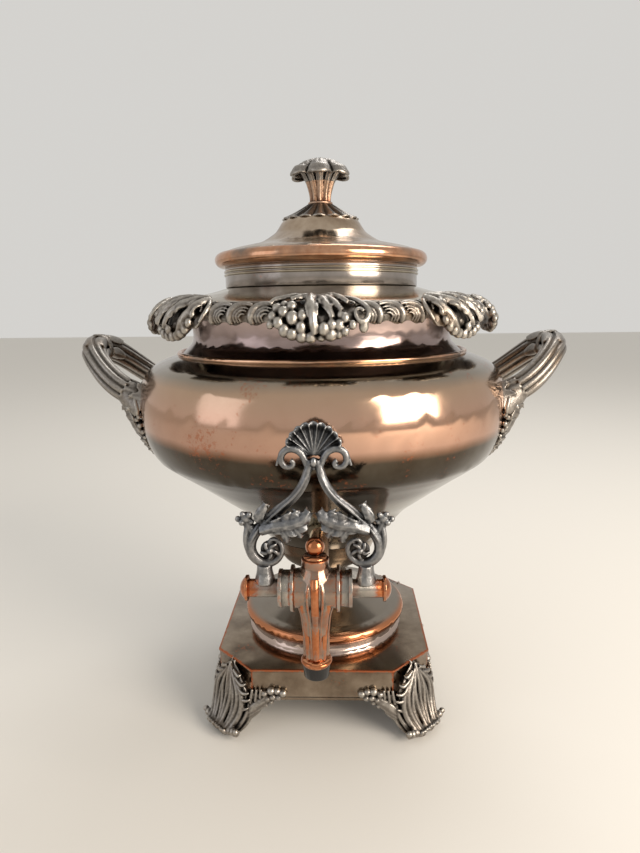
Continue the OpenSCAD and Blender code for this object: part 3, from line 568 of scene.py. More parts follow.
def copyNode(name):
    # copy of a CAD node in millimetres, its double points made one
    piece = bpy.data.objects.new(name + "Copy", nodes[name].data.copy())
    bpy.context.scene.collection.objects.link(piece)
    piece.data.transform(Matrix.Scale(1 / mm, 4))
    alone(piece)
    bpy.ops.object.mode_set(mode="EDIT")
    bpy.ops.mesh.select_all(action="SELECT")
    bpy.ops.mesh.remove_doubles(threshold=work["weld"])
    bpy.ops.object.mode_set(mode="OBJECT")
    return piece


def dressed(name, newName, body, material, edge=0, reliefAndShade=None):
    # a CAD node's own shape with smooth shading and, where asked, flat areas made one face each, softened edges and
    # relief marks that also carry painted shade
    piece = copyNode(name)
    if edge:
        bpy.ops.object.mode_set(mode="EDIT")
        bpy.ops.mesh.select_all(action="SELECT")
        bpy.ops.mesh.dissolve_limited(angle_limit=math.radians(work["flat"]))
        bpy.ops.object.mode_set(mode="OBJECT")
        modify(piece, "BEVEL", width=edge, segments=2, limit_method="ANGLE",
               angle_limit=math.radians(work["softened"]))
    if reliefAndShade:
        markReliefAndShade(piece, *reliefAndShade)
    finish(piece, newName, body, material, name)
    bpy.ops.object.shade_smooth_by_angle(angle=math.radians(work["sharp"]))


# outer radius of the vessel at a height, read from the CAD node, in millimetres
bowlPoints = np.array([corner.co for corner in nodes["bowl"].data.vertices]) / mm
bowlRadii = np.hypot(bowlPoints[:, 0], bowlPoints[:, 1])
bowlLevels = np.array(sorted(set(np.round(bowlPoints[:, 2], 1))))
bowlOutline = [bowlRadii[np.abs(bowlPoints[:, 2] - level) < 0.06].max() for level in bowlLevels]


def bowlRadius(height):
    return float(np.interp(height, bowlLevels, bowlOutline))


def onBowl(turn, across, height, lift):
    # point on the vessel at an angle in radians, moved sideways along the wall, at a height, raised by lift
    turn += across / bowlRadius(height)
    slope = (bowlRadius(height + 2) - bowlRadius(height - 2)) / 4
    long = math.hypot(1, slope)
    radius = bowlRadius(height) + lift / long
    return Vector((radius * math.cos(turn), radius * math.sin(turn), height - lift * slope / long))


print("helpers are ready")

# polished sheet pieces, turned parts and the parts inside

# node, name, body, material, softened edge in millimetres, depth and width of the relief marks, which also carry
# painted shade
sheetWork = [
    ("bowl", "vessel", "urn", bellyPlate),
    ("neck", "neckBand", "urn", neckPlate),
    ("rim_plate", "rimPlate", "urn", plate),
    ("collar", "collarBand", "urn", collarPlate, 0.4),
    ("collar_bead", "collarBeads", "urn", plate),
    ("lid_dome", "lidDome", "lid", lidPlate),
    ("lid_bezel", "lidBezel", "lid", plate),
    ("pedestal", "pedestalSheet", "urn", footPlate),
    ("stem", "stemSheet", "urn", boxPlate),
    ("plinth", "plinthBox", "urn", boxPlate, 0.7),
    ("tap_sleeve", "inletSleeve", "urn", plate),
    ("rim_band", "rimBacking", "urn", castSilver, 0, (1.5, 6)),
    ("shoulder_ring", "shoulderMoulding", "urn", wornRing, 0, (0.6, 4)),
    ("tap_pipe", "inletPipe", "urn", wornRing, 0, (0.6, 4)),
    ("spout_ring", "spoutMoulding", "urn", bareCopper, 0, (0.6, 4)),
    ("tap_ball", "tapBall", "urn", bareCopper, 0, (0.6, 4)),
    ("lid_rim", "lidMoulding", "lid", wornRing, 0, (3, 4)),
    ("tap_plug", "tapPlug", "tap_key", rubbedTap, 0.35, (0.5, 3)),
    ("tap_washers", "tapFlanges", "urn", rubbedTap, 0.35, (0.5, 3)),
    ("tap_glands", "tapDrums", "urn", rubbedTap, 0.35, (0.5, 3)),
    ("tap_buttons", "tapButtons", "tap_key", bareCopper, 0.35, (0.5, 3)),
    ("spout_tip", "spoutTip", "urn", blackHorn, 0.4),
    ("tie_rod", "tieRod", "urn", tinnedCopper, 0.25),
    ("tie_nuts", "tieNuts", "urn", tinnedCopper, 0.25),
    ("tie_washers", "tieWashers", "urn", tinnedCopper, 0.25),
    ("finial_stud", "finialStud", "lid", tinnedCopper, 0.25),
    ("finial_nut", "finialNut", "lid", tinnedCopper, 0.25),
    ("heater_sleeve", "heaterSleeve", "urn", tinnedCopper, 0.25),
    ("heater_cap", "heaterCap", "heater_cap", tinnedCopper, 0.25),
    ("iron_slug", "ironSlug", "iron_slug", scaledIron, 0.8),
]
for row in sheetWork:
    dressed(*row)
print("sheet pieces are dressed")

# rim border

border = {
    "edgeRadius": 112,
    "collarLevel": 311,
    "grain": 0.46,
    # fall of the border from the plate outwards and down: distance from the plate's edge, height under the collar
    "groupFall": [(-7, -10), (-3, -11.6), (0.5, -13.2), (4, -15.6), (7, -19), (8.6, -23), (8.2, -27), (6, -31)],
    "lobeFall": [(-5, -10.8), (-2, -12), (0, -13.2), (2, -15.4), (2.8, -18.6), (2, -22), (0, -25)],
    # lobes: distance from one to the next; bend, half width and lowest point of an arc and of the reeds under it
    "pitch": 13.7,
    "arcs": [(9, 1.9, 15.4), (6.2, 0.7, 15.2), (4.4, 0.66, 14.8), (2.6, 0.6, 14.4)],
    "arcWidths": (0.75, 1.05, 1.1, 1.05, 1, 0.8, 0.55),
}
# flat work of the two groups. ground: left end, right end, depth, waves; leaves: line, half widths, teeth, crown,
# thickness; berries: place along, place down, radius; stalks: place along, place down, place out, radius
# grapes on both sides of a hanging leaf tip, a fanned leaf over them and a curl at the right end
bunch = {
    "ground": (-22.5, 22, 26, 0.5),
    "leaves": [([(-2.2, 2.6, 2.6), (-2, 9, 3.6), (-1, 16, 3.8), (0.2, 25, 2.6)], [1.6, 3, 3.6, 2.8, 0.4], 2, 1.4, 2),
               ([(-1, 4, 2.4), (-6, 4.4, 3.2), (-13, 7.6, 3)], [1.4, 2.6, 2.2, 0.4], 3, 1.2, 1.6),
               ([(-3, 3, 2.2), (-12, 2.6, 2.6), (-22, 5.4, 1.8), (-25, 9, 1)], [1, 1.9, 1.4, 0.4], 3, 1.2, 1.6),
               ([(1.6, 4, 2.6), (5, 10, 3.8), (9, 19, 2.8)], [1.4, 3.2, 3, 0.4], 3, 1.2, 1.6),
               ([(2.6, 3.4, 2.4), (8, 8, 3.6), (14, 15.6, 2.8)], [1.2, 2.6, 2.4, 0.4], 3, 1.2, 1.6),
               ([(4, 2.6, 2.2), (11, 4, 3.2), (18, 10.4, 2.8)], [1.2, 2.2, 2, 0.4], 3, 1.2, 1.6)],
    "berries": [(-19.6, 13.2, 2.3), (-15.8, 15.6, 2.5), (-11, 18.6, 2.9), (-11.8, 12.4, 2.4), (-16, 11, 1.9),
                (-21.4, 18, 2.1), (-18, 20.6, 2.3), (-22.2, 21.6, 1.6), (-15, 24, 2.6), (-11.2, 25.6, 2.7),
                (-6.4, 27.2, 2.7), (-6.6, 22.8, 2.5), (-6, 17.8, 2.3), (-2, 27.4, 2.6), (4.6, 23.4, 2.5),
                (8, 26.2, 2.8), (3.4, 27.6, 2), (8.6, 21.8, 2.1), (12.2, 22, 2.3), (12, 26, 2.1), (15.2, 24.4, 1.9),
                (15.4, 18.8, 2), (19, 22, 1.8), (13, 17.6, 1.6)],
    "stalks": [[(9, 1.6, 2, 0.7), (15, 2.4, 2.8, 1.1), (21.4, 5.6, 3, 1.4), (26.8, 10.6, 2.6, 1.6),
                (28.6, 16, 2.2, 1.7), (26, 20.8, 2.2, 1.7), (21.8, 20, 2.4, 1.4), (20.6, 15.8, 2.6, 1.2),
                (23.2, 13.2, 2.8, 1.1), (25.4, 15.6, 2.8, 1.2)],
               [(14, 5.4, 2.2, 0.6), (18.6, 7.4, 3, 0.9), (21.8, 10.2, 3, 0.7)]],
}
# one broad vine leaf with its ribs running down to the right, its outer lobe drooping over the edge
vineLeaf = {
    "ground": (-22, 23, 26.4, 0.7),
    "leaves": [([(-18, 2.6, 2), (-10, 7, 3.4), (0, 14, 3.8), (8, 23, 2.6)], [1.2, 3.6, 4, 2.6, 0.4], 4, 1.5, 1.8),
               ([(-14, 2, 2), (-4, 4.6, 3.4), (8, 11, 3.8), (17, 21.4, 2.6)], [1.2, 3.2, 4, 3, 0.4], 4, 1.5, 1.8),
               ([(-6, 1.6, 1.8), (6, 2.6, 3), (17, 7, 3.2), (25.4, 17.6, 1.6)], [1, 3, 4, 3.4, 0.5], 4, 1.5, 1.8),
               ([(-20, 4, 1.8), (-17, 10, 3), (-11, 18.6, 2.8), (-4, 26, 1.8)], [1, 3, 3.6, 2.4, 0.4], 3, 1.5, 1.8)],
    "berries": [(-14.6, 20.6, 1.9), (-11, 23.6, 2.2), (-7, 25.6, 2.4), (-2.4, 27.4, 2.5), (2.2, 28, 2.6),
                (6.8, 27.8, 2.5), (11, 26.6, 2.3), (14.8, 24.6, 2), (4.4, 24, 2.1), (-16, 16.6, 1.6),
                (20.6, 19.6, 2), (23.8, 16.4, 1.8)],
    "stalks": [[(-12, 2, 1.8, 0.8), (-18.6, 3.4, 2.6, 1.2), (-23.6, 8.6, 2.2, 1.4), (-24.4, 15.4, 1.6, 1.4),
                (-21.4, 20.4, 1.4, 0.9)],
               [(-14, 5.4, 2, 0.6), (-19, 8.4, 2.4, 0.9), (-20, 14.4, 2, 0.7)]],
}


def layOver(fall):
    # turns flat work (x along the edge, y down over it, z out) into work that lies over the border
    path = [Vector((border["edgeRadius"] + out, border["collarLevel"] + down)) for out, down in fall]
    lengths = [0]
    for near, far in zip(path, path[1:]):
        lengths.append(lengths[-1] + (far - near).length)

    def radial(distance):
        return Vector([float(np.interp(distance, lengths, [spot[k] for spot in path])) for k in (0, 1)])

    def place(point):
        ahead = (radial(point.y + 1.5) - radial(point.y - 1.5)).normalized()
        spot = radial(point.y) + Vector((-ahead.y, ahead.x)) * point.z
        turn = point.x / border["edgeRadius"]
        return Vector((spot.x * math.cos(turn), spot.x * math.sin(turn), spot.y))

    return place


def vineGroup(group):
    left, right, low, waves = group["ground"]

    def ground(u, v):
        # backing that ties the group together, with an uneven lower edge
        along = left + (right - left) * (u + 1) / 2
        deep = low - 7 * u * u + 0.9 * math.cos(along * waves)
        return Vector((along, 1 + (v + 1) / 2 * deep, 0.7 + 0.4 * math.cos(along * 0.9) * math.cos(v * 6)))

    flat = [sheet(48, 24, ground, 2)] + [leafStrip(*leaf) for leaf in group["leaves"]]
    flat += [ball((along, down, 1.9 + 0.45 * size + 0.4 * math.sin(3 * along)), size * 1.17)
             for along, down, size in group["berries"]]
    return flat + [taper(rows) for rows in group["stalks"]]


def borderLobes():
    # three lobes, each a broad arc that bends over to the right with finer reeds nested under it
    def ground(u, v):
        deep = 15.4 + 1.2 * math.cos((u * 21 + 4) * 2 * math.pi / border["pitch"])
        return Vector((u * 21, 1.4 + (v + 1) / 2 * deep, -0.4))

    flat = [sheet(60, 14, ground, 1.6)]
    for k in (-1, 0, 1):
        middle = border["pitch"] * k + 2.8
        for bend, wide, low in border["arcs"]:
            points = [(middle - bend + 0.5, low + 1, -0.2), (middle - bend, low - 2, 0.5)]
            for turn in (160, 130, 100, 75, 56):
                around = math.radians(turn)
                points.append((middle + bend * math.cos(around), 13 - bend * math.sin(around), 0.8))
            flat.append(rod(points, [wide * share for share in border["arcWidths"]]))
    # two fine lines that edge the plate
    return flat + [taper([(x, down, 0.5, 0.55) for x in (-23, -8, 8, 23)]) for down in (0.7, 2.6)]


def overEdge(flat, fall, grain, keep, depth):
    return cast([reshape(piece, layOver(border[fall])) for piece in flat], grain, keep, depth, 5)


def doubled(piece, first, second):
    # the piece at the first angles and its mirror image at the second ones, as one
    other = mirrored(duplicate(piece), (0, 1, 0))
    return joined([copiesRound(piece, first), copiesRound(other, second)])


# the curl of a bunch ends in a bud
grapeWork = vineGroup(bunch) + [ball((25, 22.6, 1.4), 2.6, (1, 1.3, 0.8))]
grapeGroup, leafGroup = (overEdge(flat, "groupFall", border["grain"], 0.27, 0.5)
                         for flat in (grapeWork, vineGroup(vineLeaf)))
groups = joined([copiesRound(grapeGroup, [-90, 0, 90, 180]), doubled(leafGroup, [-45, 135], [45, 225])])
finish(groups, "vineGroups", "urn", castSilver, "rim_groups")
lobes = doubled(overEdge(borderLobes(), "lobeFall", 0.4, 0.45, 0.4), [k * 90 - 22.5 for k in range(4)],
                [k * 90 + 22.5 for k in range(4)])
finish(lobes, "rimLobes", "urn", castSilver, "rim_gadroons")
print("rim border is made")

# finial

finial = {
    "petals": 6,
    "ribs": 16,
    "stemLeaves": 10,
    # rolled edge of a petal: distance from the middle, angle from the petal's middle, height, radius
    "petalEdge": [(17.4, -0.42, 4.9, 0.7), (20.8, -0.27, 3.9, 1.15), (22, 0, 3.4, 1.3), (20.8, 0.27, 3.9, 1.15),
                  (17.4, 0.42, 4.9, 0.7)],
    # upright leaves: distance from the middle, share of the gap to the side ribs, height, width
    "capLeaves": [(9.2, 1, -0.3, 1.2), (10.4, 1.1, 2.4, 1.2), (12.6, 1.25, 5.6, 1.15), (15.6, 1.5, 8.2, 0.9)],
    "leaves": [(6.6, 0.6, -0.4, 0.9), (6.5, 0.7, 4, 1), (7.5, 0.9, 9, 1.1), (9.3, 1, 14.9, 1.2)],
    # cores of the three castings: height, radius
    "capCore": [(-0.4, 8.2), (2, 9), (4.6, 10.4), (8, 12), (10.5, 9)],
    "stemCore": [(-0.2, 6.2), (5, 6.2), (10, 6.9), (14.9, 8.4)],
    "rosetteCore": [(-0.2, 18), (4, 11), (8, 8), (11.4, 7.2)],
}


def polarSheet(columns, rows, surface, thick):
    # sheet over a full turn: surface(turn, reach) gives radius and height, reach from 0 at the middle to 1
    def place(u, v):
        turn = (u + 1) * math.pi
        radius, height = surface(turn, (v + 1) / 2)
        return Vector((radius * math.cos(turn), radius * math.sin(turn), height))
    return sheet(columns, rows, place, thick, 1)


def capSurface(turn, reach):
    # pitted dome, then petals that droop and roll over at the edge
    petal = abs(math.sin(finial["petals"] / 2 * turn)) ** 0.6
    out = (16.6 + 5.9 * petal) * reach
    droop = 15.5 - 10.9 * reach ** 2.3
    rolled = 1.4 * math.exp(-((reach - 0.87) / 0.08) ** 2) * petal
    groove = 2.4 * (1 - petal) * max(reach - 0.58, 0)
    grain = 0.42 * math.sin(out * 2.3) * math.sin(turn * round(3 + out * 1.5)) * (reach < 0.8)
    return out, droop + rolled - groove + grain


def rosetteSurface(turn, reach):
    # low cone of straight ribs that ends in rounded scallops
    wave = abs(math.cos(finial["ribs"] / 2 * turn))
    radius = 7.8 + (17.6 + 2.2 * wave ** 0.6) * reach
    fall = 10.4 * (1 - reach) ** 1.6 + 0.2
    rib = 1.9 * wave * math.sin(math.pi * min(0.06 + 0.9 * reach, 1)) ** 0.5
    return radius, fall + rib


def flutes(steps, spread):
    # upright leaves round the stem, each a midrib and two finer side ribs
    made = []
    for k in range(finial["stemLeaves"]):
        turn = math.radians(360 * k / finial["stemLeaves"] + 18)
        out, side = Vector((math.cos(turn), math.sin(turn), 0)), Vector((-math.sin(turn), math.cos(turn), 0))
        for gap, wide in ((0, 1.25), (spread, 0.62), (-spread, 0.62)):
            made.append(rod([out * (away - abs(gap) * 0.2) + side * gap * share + Vector((0, 0, height))
                             for away, share, height, _ in steps], [wide * row[3] for row in steps]))
    return made


def core(rows):
    return taper(rows, lambda height: (0, 0, height))


def rolledEdges():
    turns = [math.radians(30 + k * 60) for k in range(finial["petals"])]
    return [taper(finial["petalEdge"], lambda out, gap, height: (out * math.cos(turn + gap),
                                                                 out * math.sin(turn + gap), height))
            for turn in turns]


ring = [(8 * math.cos(turn), 8 * math.sin(turn), -0.2, 0.9) for turn in np.linspace(0, 2 * math.pi, 25)]
for name, node, material, level, grain, depth, pieces in (
        ("finialCap", "finial_cap", castSilver, 384, 0.38, 0.5,
         [polarSheet(108, 30, capSurface, 1.5), core(finial["capCore"])] + rolledEdges()
         + flutes(finial["capLeaves"], 1.7)),
        ("finialStem", "finial_stem", warmSilver, 369.5, 0.33, 0.4,
         [core(finial["stemCore"])] + flutes(finial["leaves"], 1.7) + [taper(ring)]),
        ("finialRosette", "finial_rosette", castSilver, 358, 0.42, 0.5,
         [polarSheet(256, 26, rosetteSurface, 1.3), core(finial["rosetteCore"])])):
    piece = moved(cast(pieces, grain, 0.6, depth, 5), Matrix.Translation((0, 0, level)))
    finish(piece, name, "lid", material, node)
print("finial is made")

# handles and the leaves under them

handle = {
    "reach": 123.0, "level": 239.8, "slope": 33, "half": 38, "leg": 15.5, "tube": 8.9,
    "sag": 6.5, "sagFrom": 12, "sagSpan": 62,
    # trumpet between the leaf collar and the vessel: distance along the leg, radius
    "root": [(-15, 14), (-10, 11.6), (-5, 10.2), (1, 9.2)],
    # web that carries the leaf on the belly: height, rise, radius
    "web": [(228, 6, 3.2), (221, 4.4, 3), (213, 2.6, 2.6), (205, 1.4, 2), (197, 0.6, 1.4)],
    # berries beside it and the curl over them: distance from the leaf's middle, height, rise, radius
    "berries": [(5.4, 231, 7.4, 2.1), (6.6, 227, 5.4, 2.2), (7.2, 222.6, 3.8, 2.2), (7.2, 218, 2.6, 2.1),
                (6.8, 213.4, 1.8, 1.9), (6.2, 209.4, 1.4, 1.6), (9.4, 229, 3.2, 1.9), (10.2, 224.4, 2, 1.7)],
    "curl": [(6.5, 238, 4.4, 1.2), (9.6, 234.6, 4.6, 1.6), (11.6, 230, 3.4, 1.6), (11, 226, 2.4, 1.4),
             (8.6, 225.4, 3, 1.1), (8.4, 228.4, 3.6, 1)],
}
# angle on the vessel at which a leg of the right handle meets it
legTurn = math.asin(handle["half"] / bowlRadius(handle["level"]))


def onHandle(along, across, over):
    # point in the leaning plane of the loop
    slope = math.radians(handle["slope"])
    return Vector((handle["reach"] + along * math.cos(slope) - over * math.sin(slope), across,
                   handle["level"] + along * math.sin(slope) + over * math.cos(slope)))


def handleRing(side):
    # band across the reeds at the middle of the loop
    spot = handle["half"] + handle["leg"]
    return taper([(spot + 9.2 * math.cos(a), side, 9.2 * math.sin(a), 0.9) for a in np.linspace(0, 2 * math.pi, 17)],
                 onHandle)


def loopLeaf(side, roll):
    # small leaf that lies along the reeds beside the band
    def place(u, v):
        reach = (v + 1) / 2
        turn = side * (0.07 + 0.5 * reach)
        half = 0.4 * math.sin(math.pi * min(0.2 + reach * 0.72, 1)) ** 0.7
        away = handle["tube"] + 0.9 * (1 - abs(u))
        lean = roll + u * half
        ring = handle["half"] + away * math.cos(lean)
        return onHandle(handle["leg"] + ring * math.cos(turn), ring * math.sin(turn), away * math.sin(lean))
    return sheet(10, 14, place, 1.2)


def legLeaf(side, roll):
    # small leaf of the collar where the reeds end, its tip lifted off the leg
    def place(u, v):
        reach = (v + 1) / 2
        half = 0.5 * (1 - reach ** 3) * (1 + 0.14 * math.cos(reach * 22)) + 0.08
        radius = 10.4 - 0.9 * min(reach * 1.4, 1) + 0.9 * math.exp(-(u * 3) ** 2) + 1.1 * reach ** 4
        turn = roll + u * half
        return onHandle(-1 + 10.5 * reach, side * handle["half"] + radius * math.cos(turn), radius * math.sin(turn))
    return sheet(14, 18, place, 1.4)


def bodyLeaf(side):
    # acanthus leaf that springs from under the leg and lies down on the belly, narrowing to a point
    def place(u, v):
        reach = (v + 1) / 2
        lobes = 1 + 0.13 * math.cos(reach * 31)
        half = (8.6 * math.sin(math.pi * (0.24 + 0.76 * reach)) ** 0.9 + 0.3) * lobes
        veins = 0.5 * math.cos(reach * 31 - abs(u) * 2.6) * abs(u) * (1 - reach)
        away = float(np.interp(reach, [0, 0.28, 0.5, 0.8, 1], [11.4, 7.4, 4.6, 2.6, 0.8]))
        lift = away + (1.4 * math.exp(-(u * 2.4) ** 2) - 2.2 * abs(u)) * (1 - 0.6 * reach) + veins
        return onBowl(side * legTurn * (1 - 0.12 * reach), u * half, 232 - 43 * reach, lift)

    return sheet(30, 56, place, 2.4, 1)


def bodyBerries(side):
    pieces = [taper(handle["web"], lambda height, lift: onBowl(side * legTurn * 0.97, 0, height, lift))]
    for lean in (-1, 1):
        def beside(across, height, lift):
            return onBowl(side * legTurn, lean * across, height, lift)
        pieces += [ball(beside(*spot), size) for *spot, size in handle["berries"]]
        pieces.append(taper(handle["curl"], beside))
    return pieces


def settled(point):
    # what would come through the wall of the vessel stays inside its thickness
    radius = math.hypot(point.x, point.y)
    least = bowlRadius(point.z) - 0.8
    return point if radius > least else Vector((point.x * least / radius, point.y * least / radius, point.z))


def sagged(point):
    # the loop droops between its root and its bend
    slope = math.radians(handle["slope"])
    along = (point.x - handle["reach"]) * math.cos(slope) + (point.z - handle["level"]) * math.sin(slope)
    share = min(max((along + handle["sagFrom"]) / handle["sagSpan"], 0), 1)
    return point - Vector((0, 0, handle["sag"] * math.sin(math.pi * share)))


loop = [copyNode("handle_right")] + [handleRing(side) for side in (-2, 0, 2)]
leaves = []
for side in (-1, 1):
    loop += [loopLeaf(side, roll) for roll in (0.5, 1.7, 2.8)]
    loop.append(taper(handle["root"], lambda along: onHandle(along, side * handle["half"], 0), 5))
    loop += [legLeaf(side, roll) for roll in (0, 1.05, 2.1, 3.14, 4.19, 5.24)]
    leaves += [bodyLeaf(side)] + bodyBerries(side)
for pieces, move, name, node in ((loop, sagged, "handle", "handle_"), (leaves, settled, "leaves", "handle_leaves_")):
    right = cast([reshape(piece, move) for piece in pieces], 0.5, 0.5, 0.6, 6)
    left = mirrored(duplicate(right), (1, 0, 0))
    finish(right, name + "Right", "urn", castSilver, node + "right")
    finish(left, name + "Left", "urn", castSilver, node + "left")
print("handles are made")

# feet

foot = {
    "face": 89.4,
    "side": 77,
    # front curve of the leaf: distance from the corner face, height, half width
    "leaf": [(1.6, 50.2, 0.8), (2.4, 46, 6.8), (3.2, 40.5, 13.2), (3.8, 34.5, 17.2), (4.2, 29, 18.2), (5.4, 21, 16.8),
             (8.2, 13.6, 14.2), (12.4, 7.8, 12), (16.4, 4.6, 10.6), (18.2, 6, 10), (17.4, 8.6, 9.4)],
    "leafEnd": 0.76,  # the ground of the leaf stops here, and only its ribs curl up at the toe
    "ribs": 9,
    # long ribs: share of the way, share of the leaf's half width, radius
    "ribPath": [(0, 0.2, 0.5), (0.14, 0.55, 1.3), (0.3, 0.86, 2), (0.48, 0.96, 2.15), (0.66, 0.95, 1.9),
                (0.84, 0.95, 1.6), (1, 0.95, 1.2)],
    # lobes that stand out from both edges: further down the leaf, share of its half width, lift, radius
    "lobe": [(0, 0.55, 0.8, 1), (0.05, 0.86, 1, 1.5), (0.05, 1.04, 0.4, 1.3), (0.03, 1.16, -0.6, 0.6)],
    "midrib": [(0, 0.9), (0.12, 1.5), (0.3, 1.7), (0.5, 1.5), (0.75, 1)],
    # bars on the middle line: distance from the corner face, across, height, radius
    "heel": [(-1, 0, 27.9, 9), (0, 0, 18, 9), (4, 0, 8, 7), (7, 0, 5.2, 5.1)],
    "toe": [(12, -18, 6.2, 2.4), (13.4, -9, 6.2, 3.5), (13.8, 0, 6.2, 3.7), (13.4, 9, 6.2, 3.5), (12, 18, 6.2, 2.4)],
    # bars of each half: side of the heel, then a bright double strand that sweeps from the plinth to the toe
    "half": [[(-3.4, 10, 27.9, 6.4), (-1, 10, 18, 5.6), (4, 8.6, 9, 5), (8.4, 7, 4.6, 4.5)],
             [(1.6, 18.6, 27.4, 0.9), (3, 18.9, 21, 1.5), (5.8, 16.8, 13.6, 1.6), (9.4, 13.4, 7.4, 1.7),
              (12.6, 9.6, 3.6, 1.7), (14.8, 5.4, 2.2, 1.5), (15.6, 2.4, 3.4, 1.2), (14.6, 2, 6, 1)],
             [(0, 20.4, 25.4, 0.7), (1, 20.6, 18.6, 1.2), (3, 18.4, 11.4, 1.4), (6.4, 14.6, 5.4, 1.5),
              (9.6, 10.4, 1.9, 1.5), (12, 6, 1.4, 1.3)]],
    # knobs along the toe: distance from the corner face, across, height, radius
    "knobs": [(13.6, 11.6, 6.6, 3.2), (13.8, 15.2, 7.6, 2.7), (13.9, 18.4, 9, 2.1)],
}
# work along the lower edge of a plinth side: distance along the side, height, radius
bracket = {
    "beads": [(27.4, 34, 2.6), (31.4, 35.4, 2.3), (35.6, 35.6, 2.7), (40.2, 33.6, 2.2), (30.6, 30.8, 2.1),
              (34.4, 31, 2.3), (38.2, 29.6, 2.1), (35.6, 27.4, 1.7), (41.2, 27.6, 1.9), (39.4, 25, 1.7),
              (44.6, 21.6, 1.8)],
    "strands": [[(42.6, 37, 0.9), (43, 34, 1.3), (43.4, 30.4, 1.1)],
                [(45.6, 37, 0.9), (46.2, 33, 1.4), (46.8, 28, 1.2)],
                [(48.6, 37, 0.9), (49.2, 32, 1.4), (50.6, 26.4, 1.2)],
                [(44, 29, 1.1), (45.6, 26, 1.6), (48.6, 22.6, 1.1)],
                [(47.6, 26.6, 1), (50, 23, 1.5), (54, 19, 1)],
                [(39.6, 31.6, 1.1), (43.6, 27.6, 1.6), (49, 23, 1.3), (54, 18, 1)],
                [(40, 25.6, 1.2), (46, 21, 1.8), (53, 15.6, 1.6), (60, 9, 1.2)],
                [(44, 20.4, 1.1), (49, 16.6, 1.7), (56, 10.6, 1.5), (63, 3.6, 1.2)]],
    # backing that the beads sit on
    "web": [(30, 31.4, 1.9), (36, 30, 3.6), (43, 27, 4.6), (50, 21, 5), (57, 13, 4.4), (62, 7, 3.2)],
}


def onFoot(out, across, height):
    # out along the diagonal of the front right corner, across to the right
    root = math.sqrt(0.5)
    return Vector(((out + across) * root, (across - out) * root, height))


def onLeaf(reach, side, lift):
    # point on the crowned front of the leaf, side from -1 to 1 across it
    steps = np.linspace(0, 1, len(foot["leaf"]))
    out, height, half = (float(np.interp(reach, steps, [row[k] for row in foot["leaf"]])) for k in range(3))
    crown = 1.6 * (1 - side * side) * math.sin(math.pi * min(reach * 1.2, 1))
    return onFoot(foot["face"] + out + crown + lift, side * half, height)


def footLeaf():
    def place(u, v):
        reach = foot["leafEnd"] * (v + 1) / 2
        furrow = 0.6 * abs(math.cos(4.5 * math.pi * u)) * min(1, reach * 4)
        jag = 0.5 * math.cos(reach * 30) * abs(u) ** 3
        return onLeaf(reach, u, furrow - 0.6 + jag)
    return sheet(72, 44, place, 4.6, 1)


def leafRibs():
    # long ribs spring from the tip, spread to the edges and draw together again towards the toe
    made = []
    for k in range(foot["ribs"]):
        side = 2 * k / (foot["ribs"] - 1) - 1
        start = 0.03 + 0.05 * abs(side)

        def place(share, spread):
            sway = 0.13 * math.sin(2.2 * math.pi * share) * (1 - abs(side)) * (1 if side > 0 else -1)
            across = side * spread + (sway if k % 2 else -sway)
            return onLeaf(start + (1 - start) * share, across, 0.5 + 0.5 * (k % 2))

        made.append(taper(foot["ribPath"], place))
    for turn in (-1, 1):
        for reach in (0.1 + 0.085 * k for k in range(5)):
            made.append(taper(foot["lobe"], lambda down, side, lift: onLeaf(reach + down, turn * side, lift)))
    return made + [taper(foot["midrib"], lambda reach: onLeaf(reach, 0, 1.2))]


def footBrackets():
    made = []
    for swap in (False, True):
        def put(along, out, height):
            return Vector((-out, -along, height)) if swap else Vector((along, out, height))

        level = -foot["side"]
        for along, height, size in bracket["beads"]:
            made.append(ball(put(along, level - 1.2, height), size, (1, 1.12, 1) if swap else (1.12, 1, 1)))
        # both run outwards towards the corner
        made += [taper(strand, lambda along, height: put(along, level - 1.6 + max(along - 52, 0) * 0.5, height))
                 for strand in bracket["strands"]]
        made.append(taper(bracket["web"],
                          lambda along, height: put(along, level + 1.1 + max(along - 50, 0) * 0.55, height)))
    return made


def makeFoot():
    pieces = [footLeaf()] + leafRibs()
    pieces += [taper(rows, lambda out, across, height: onFoot(foot["face"] + out, across, height))
               for rows in (foot["heel"], foot["toe"])]
    for side in (-1, 1):
        def place(out, across, height):
            return onFoot(foot["face"] + out, side * across, height)

        pieces += [taper(rows, place) for rows in foot["half"]]
        pieces += [ball(place(*spot), size) for *spot, size in foot["knobs"]]
        # volute on the inner side of the large knob
        curl = [(2.9 * (1 - 0.07 * k), turn) for k, turn in enumerate(np.linspace(-2.2, 4.2, 10))]
        pieces.append(taper([(15.2, 4.6 + wide * math.cos(turn), 4.6 + wide * math.sin(turn), 1.15)
                             for wide, turn in curl], place))
    # nothing goes below the table
    whole = reshape(joined(pieces + footBrackets()), lambda point: Vector((point.x, point.y, max(point.z, 0))))
    return cast([whole], 0.42, 0.4, 0.5, 6)


master = makeFoot()
for name, newName, angle in (("foot_front_right", "footFrontRight", 0), ("foot_back_right", "footBackRight", 90),
                             ("foot_back_left", "footBackLeft", 180), ("foot_front_left", "footFrontLeft", 270)):
    piece = moved(duplicate(master), Matrix.Rotation(math.radians(angle), 4, "Z"))
    finish(piece, newName, "urn", castSilver, name)
bpy.data.objects.remove(master)
print("feet are made")

# tap lever

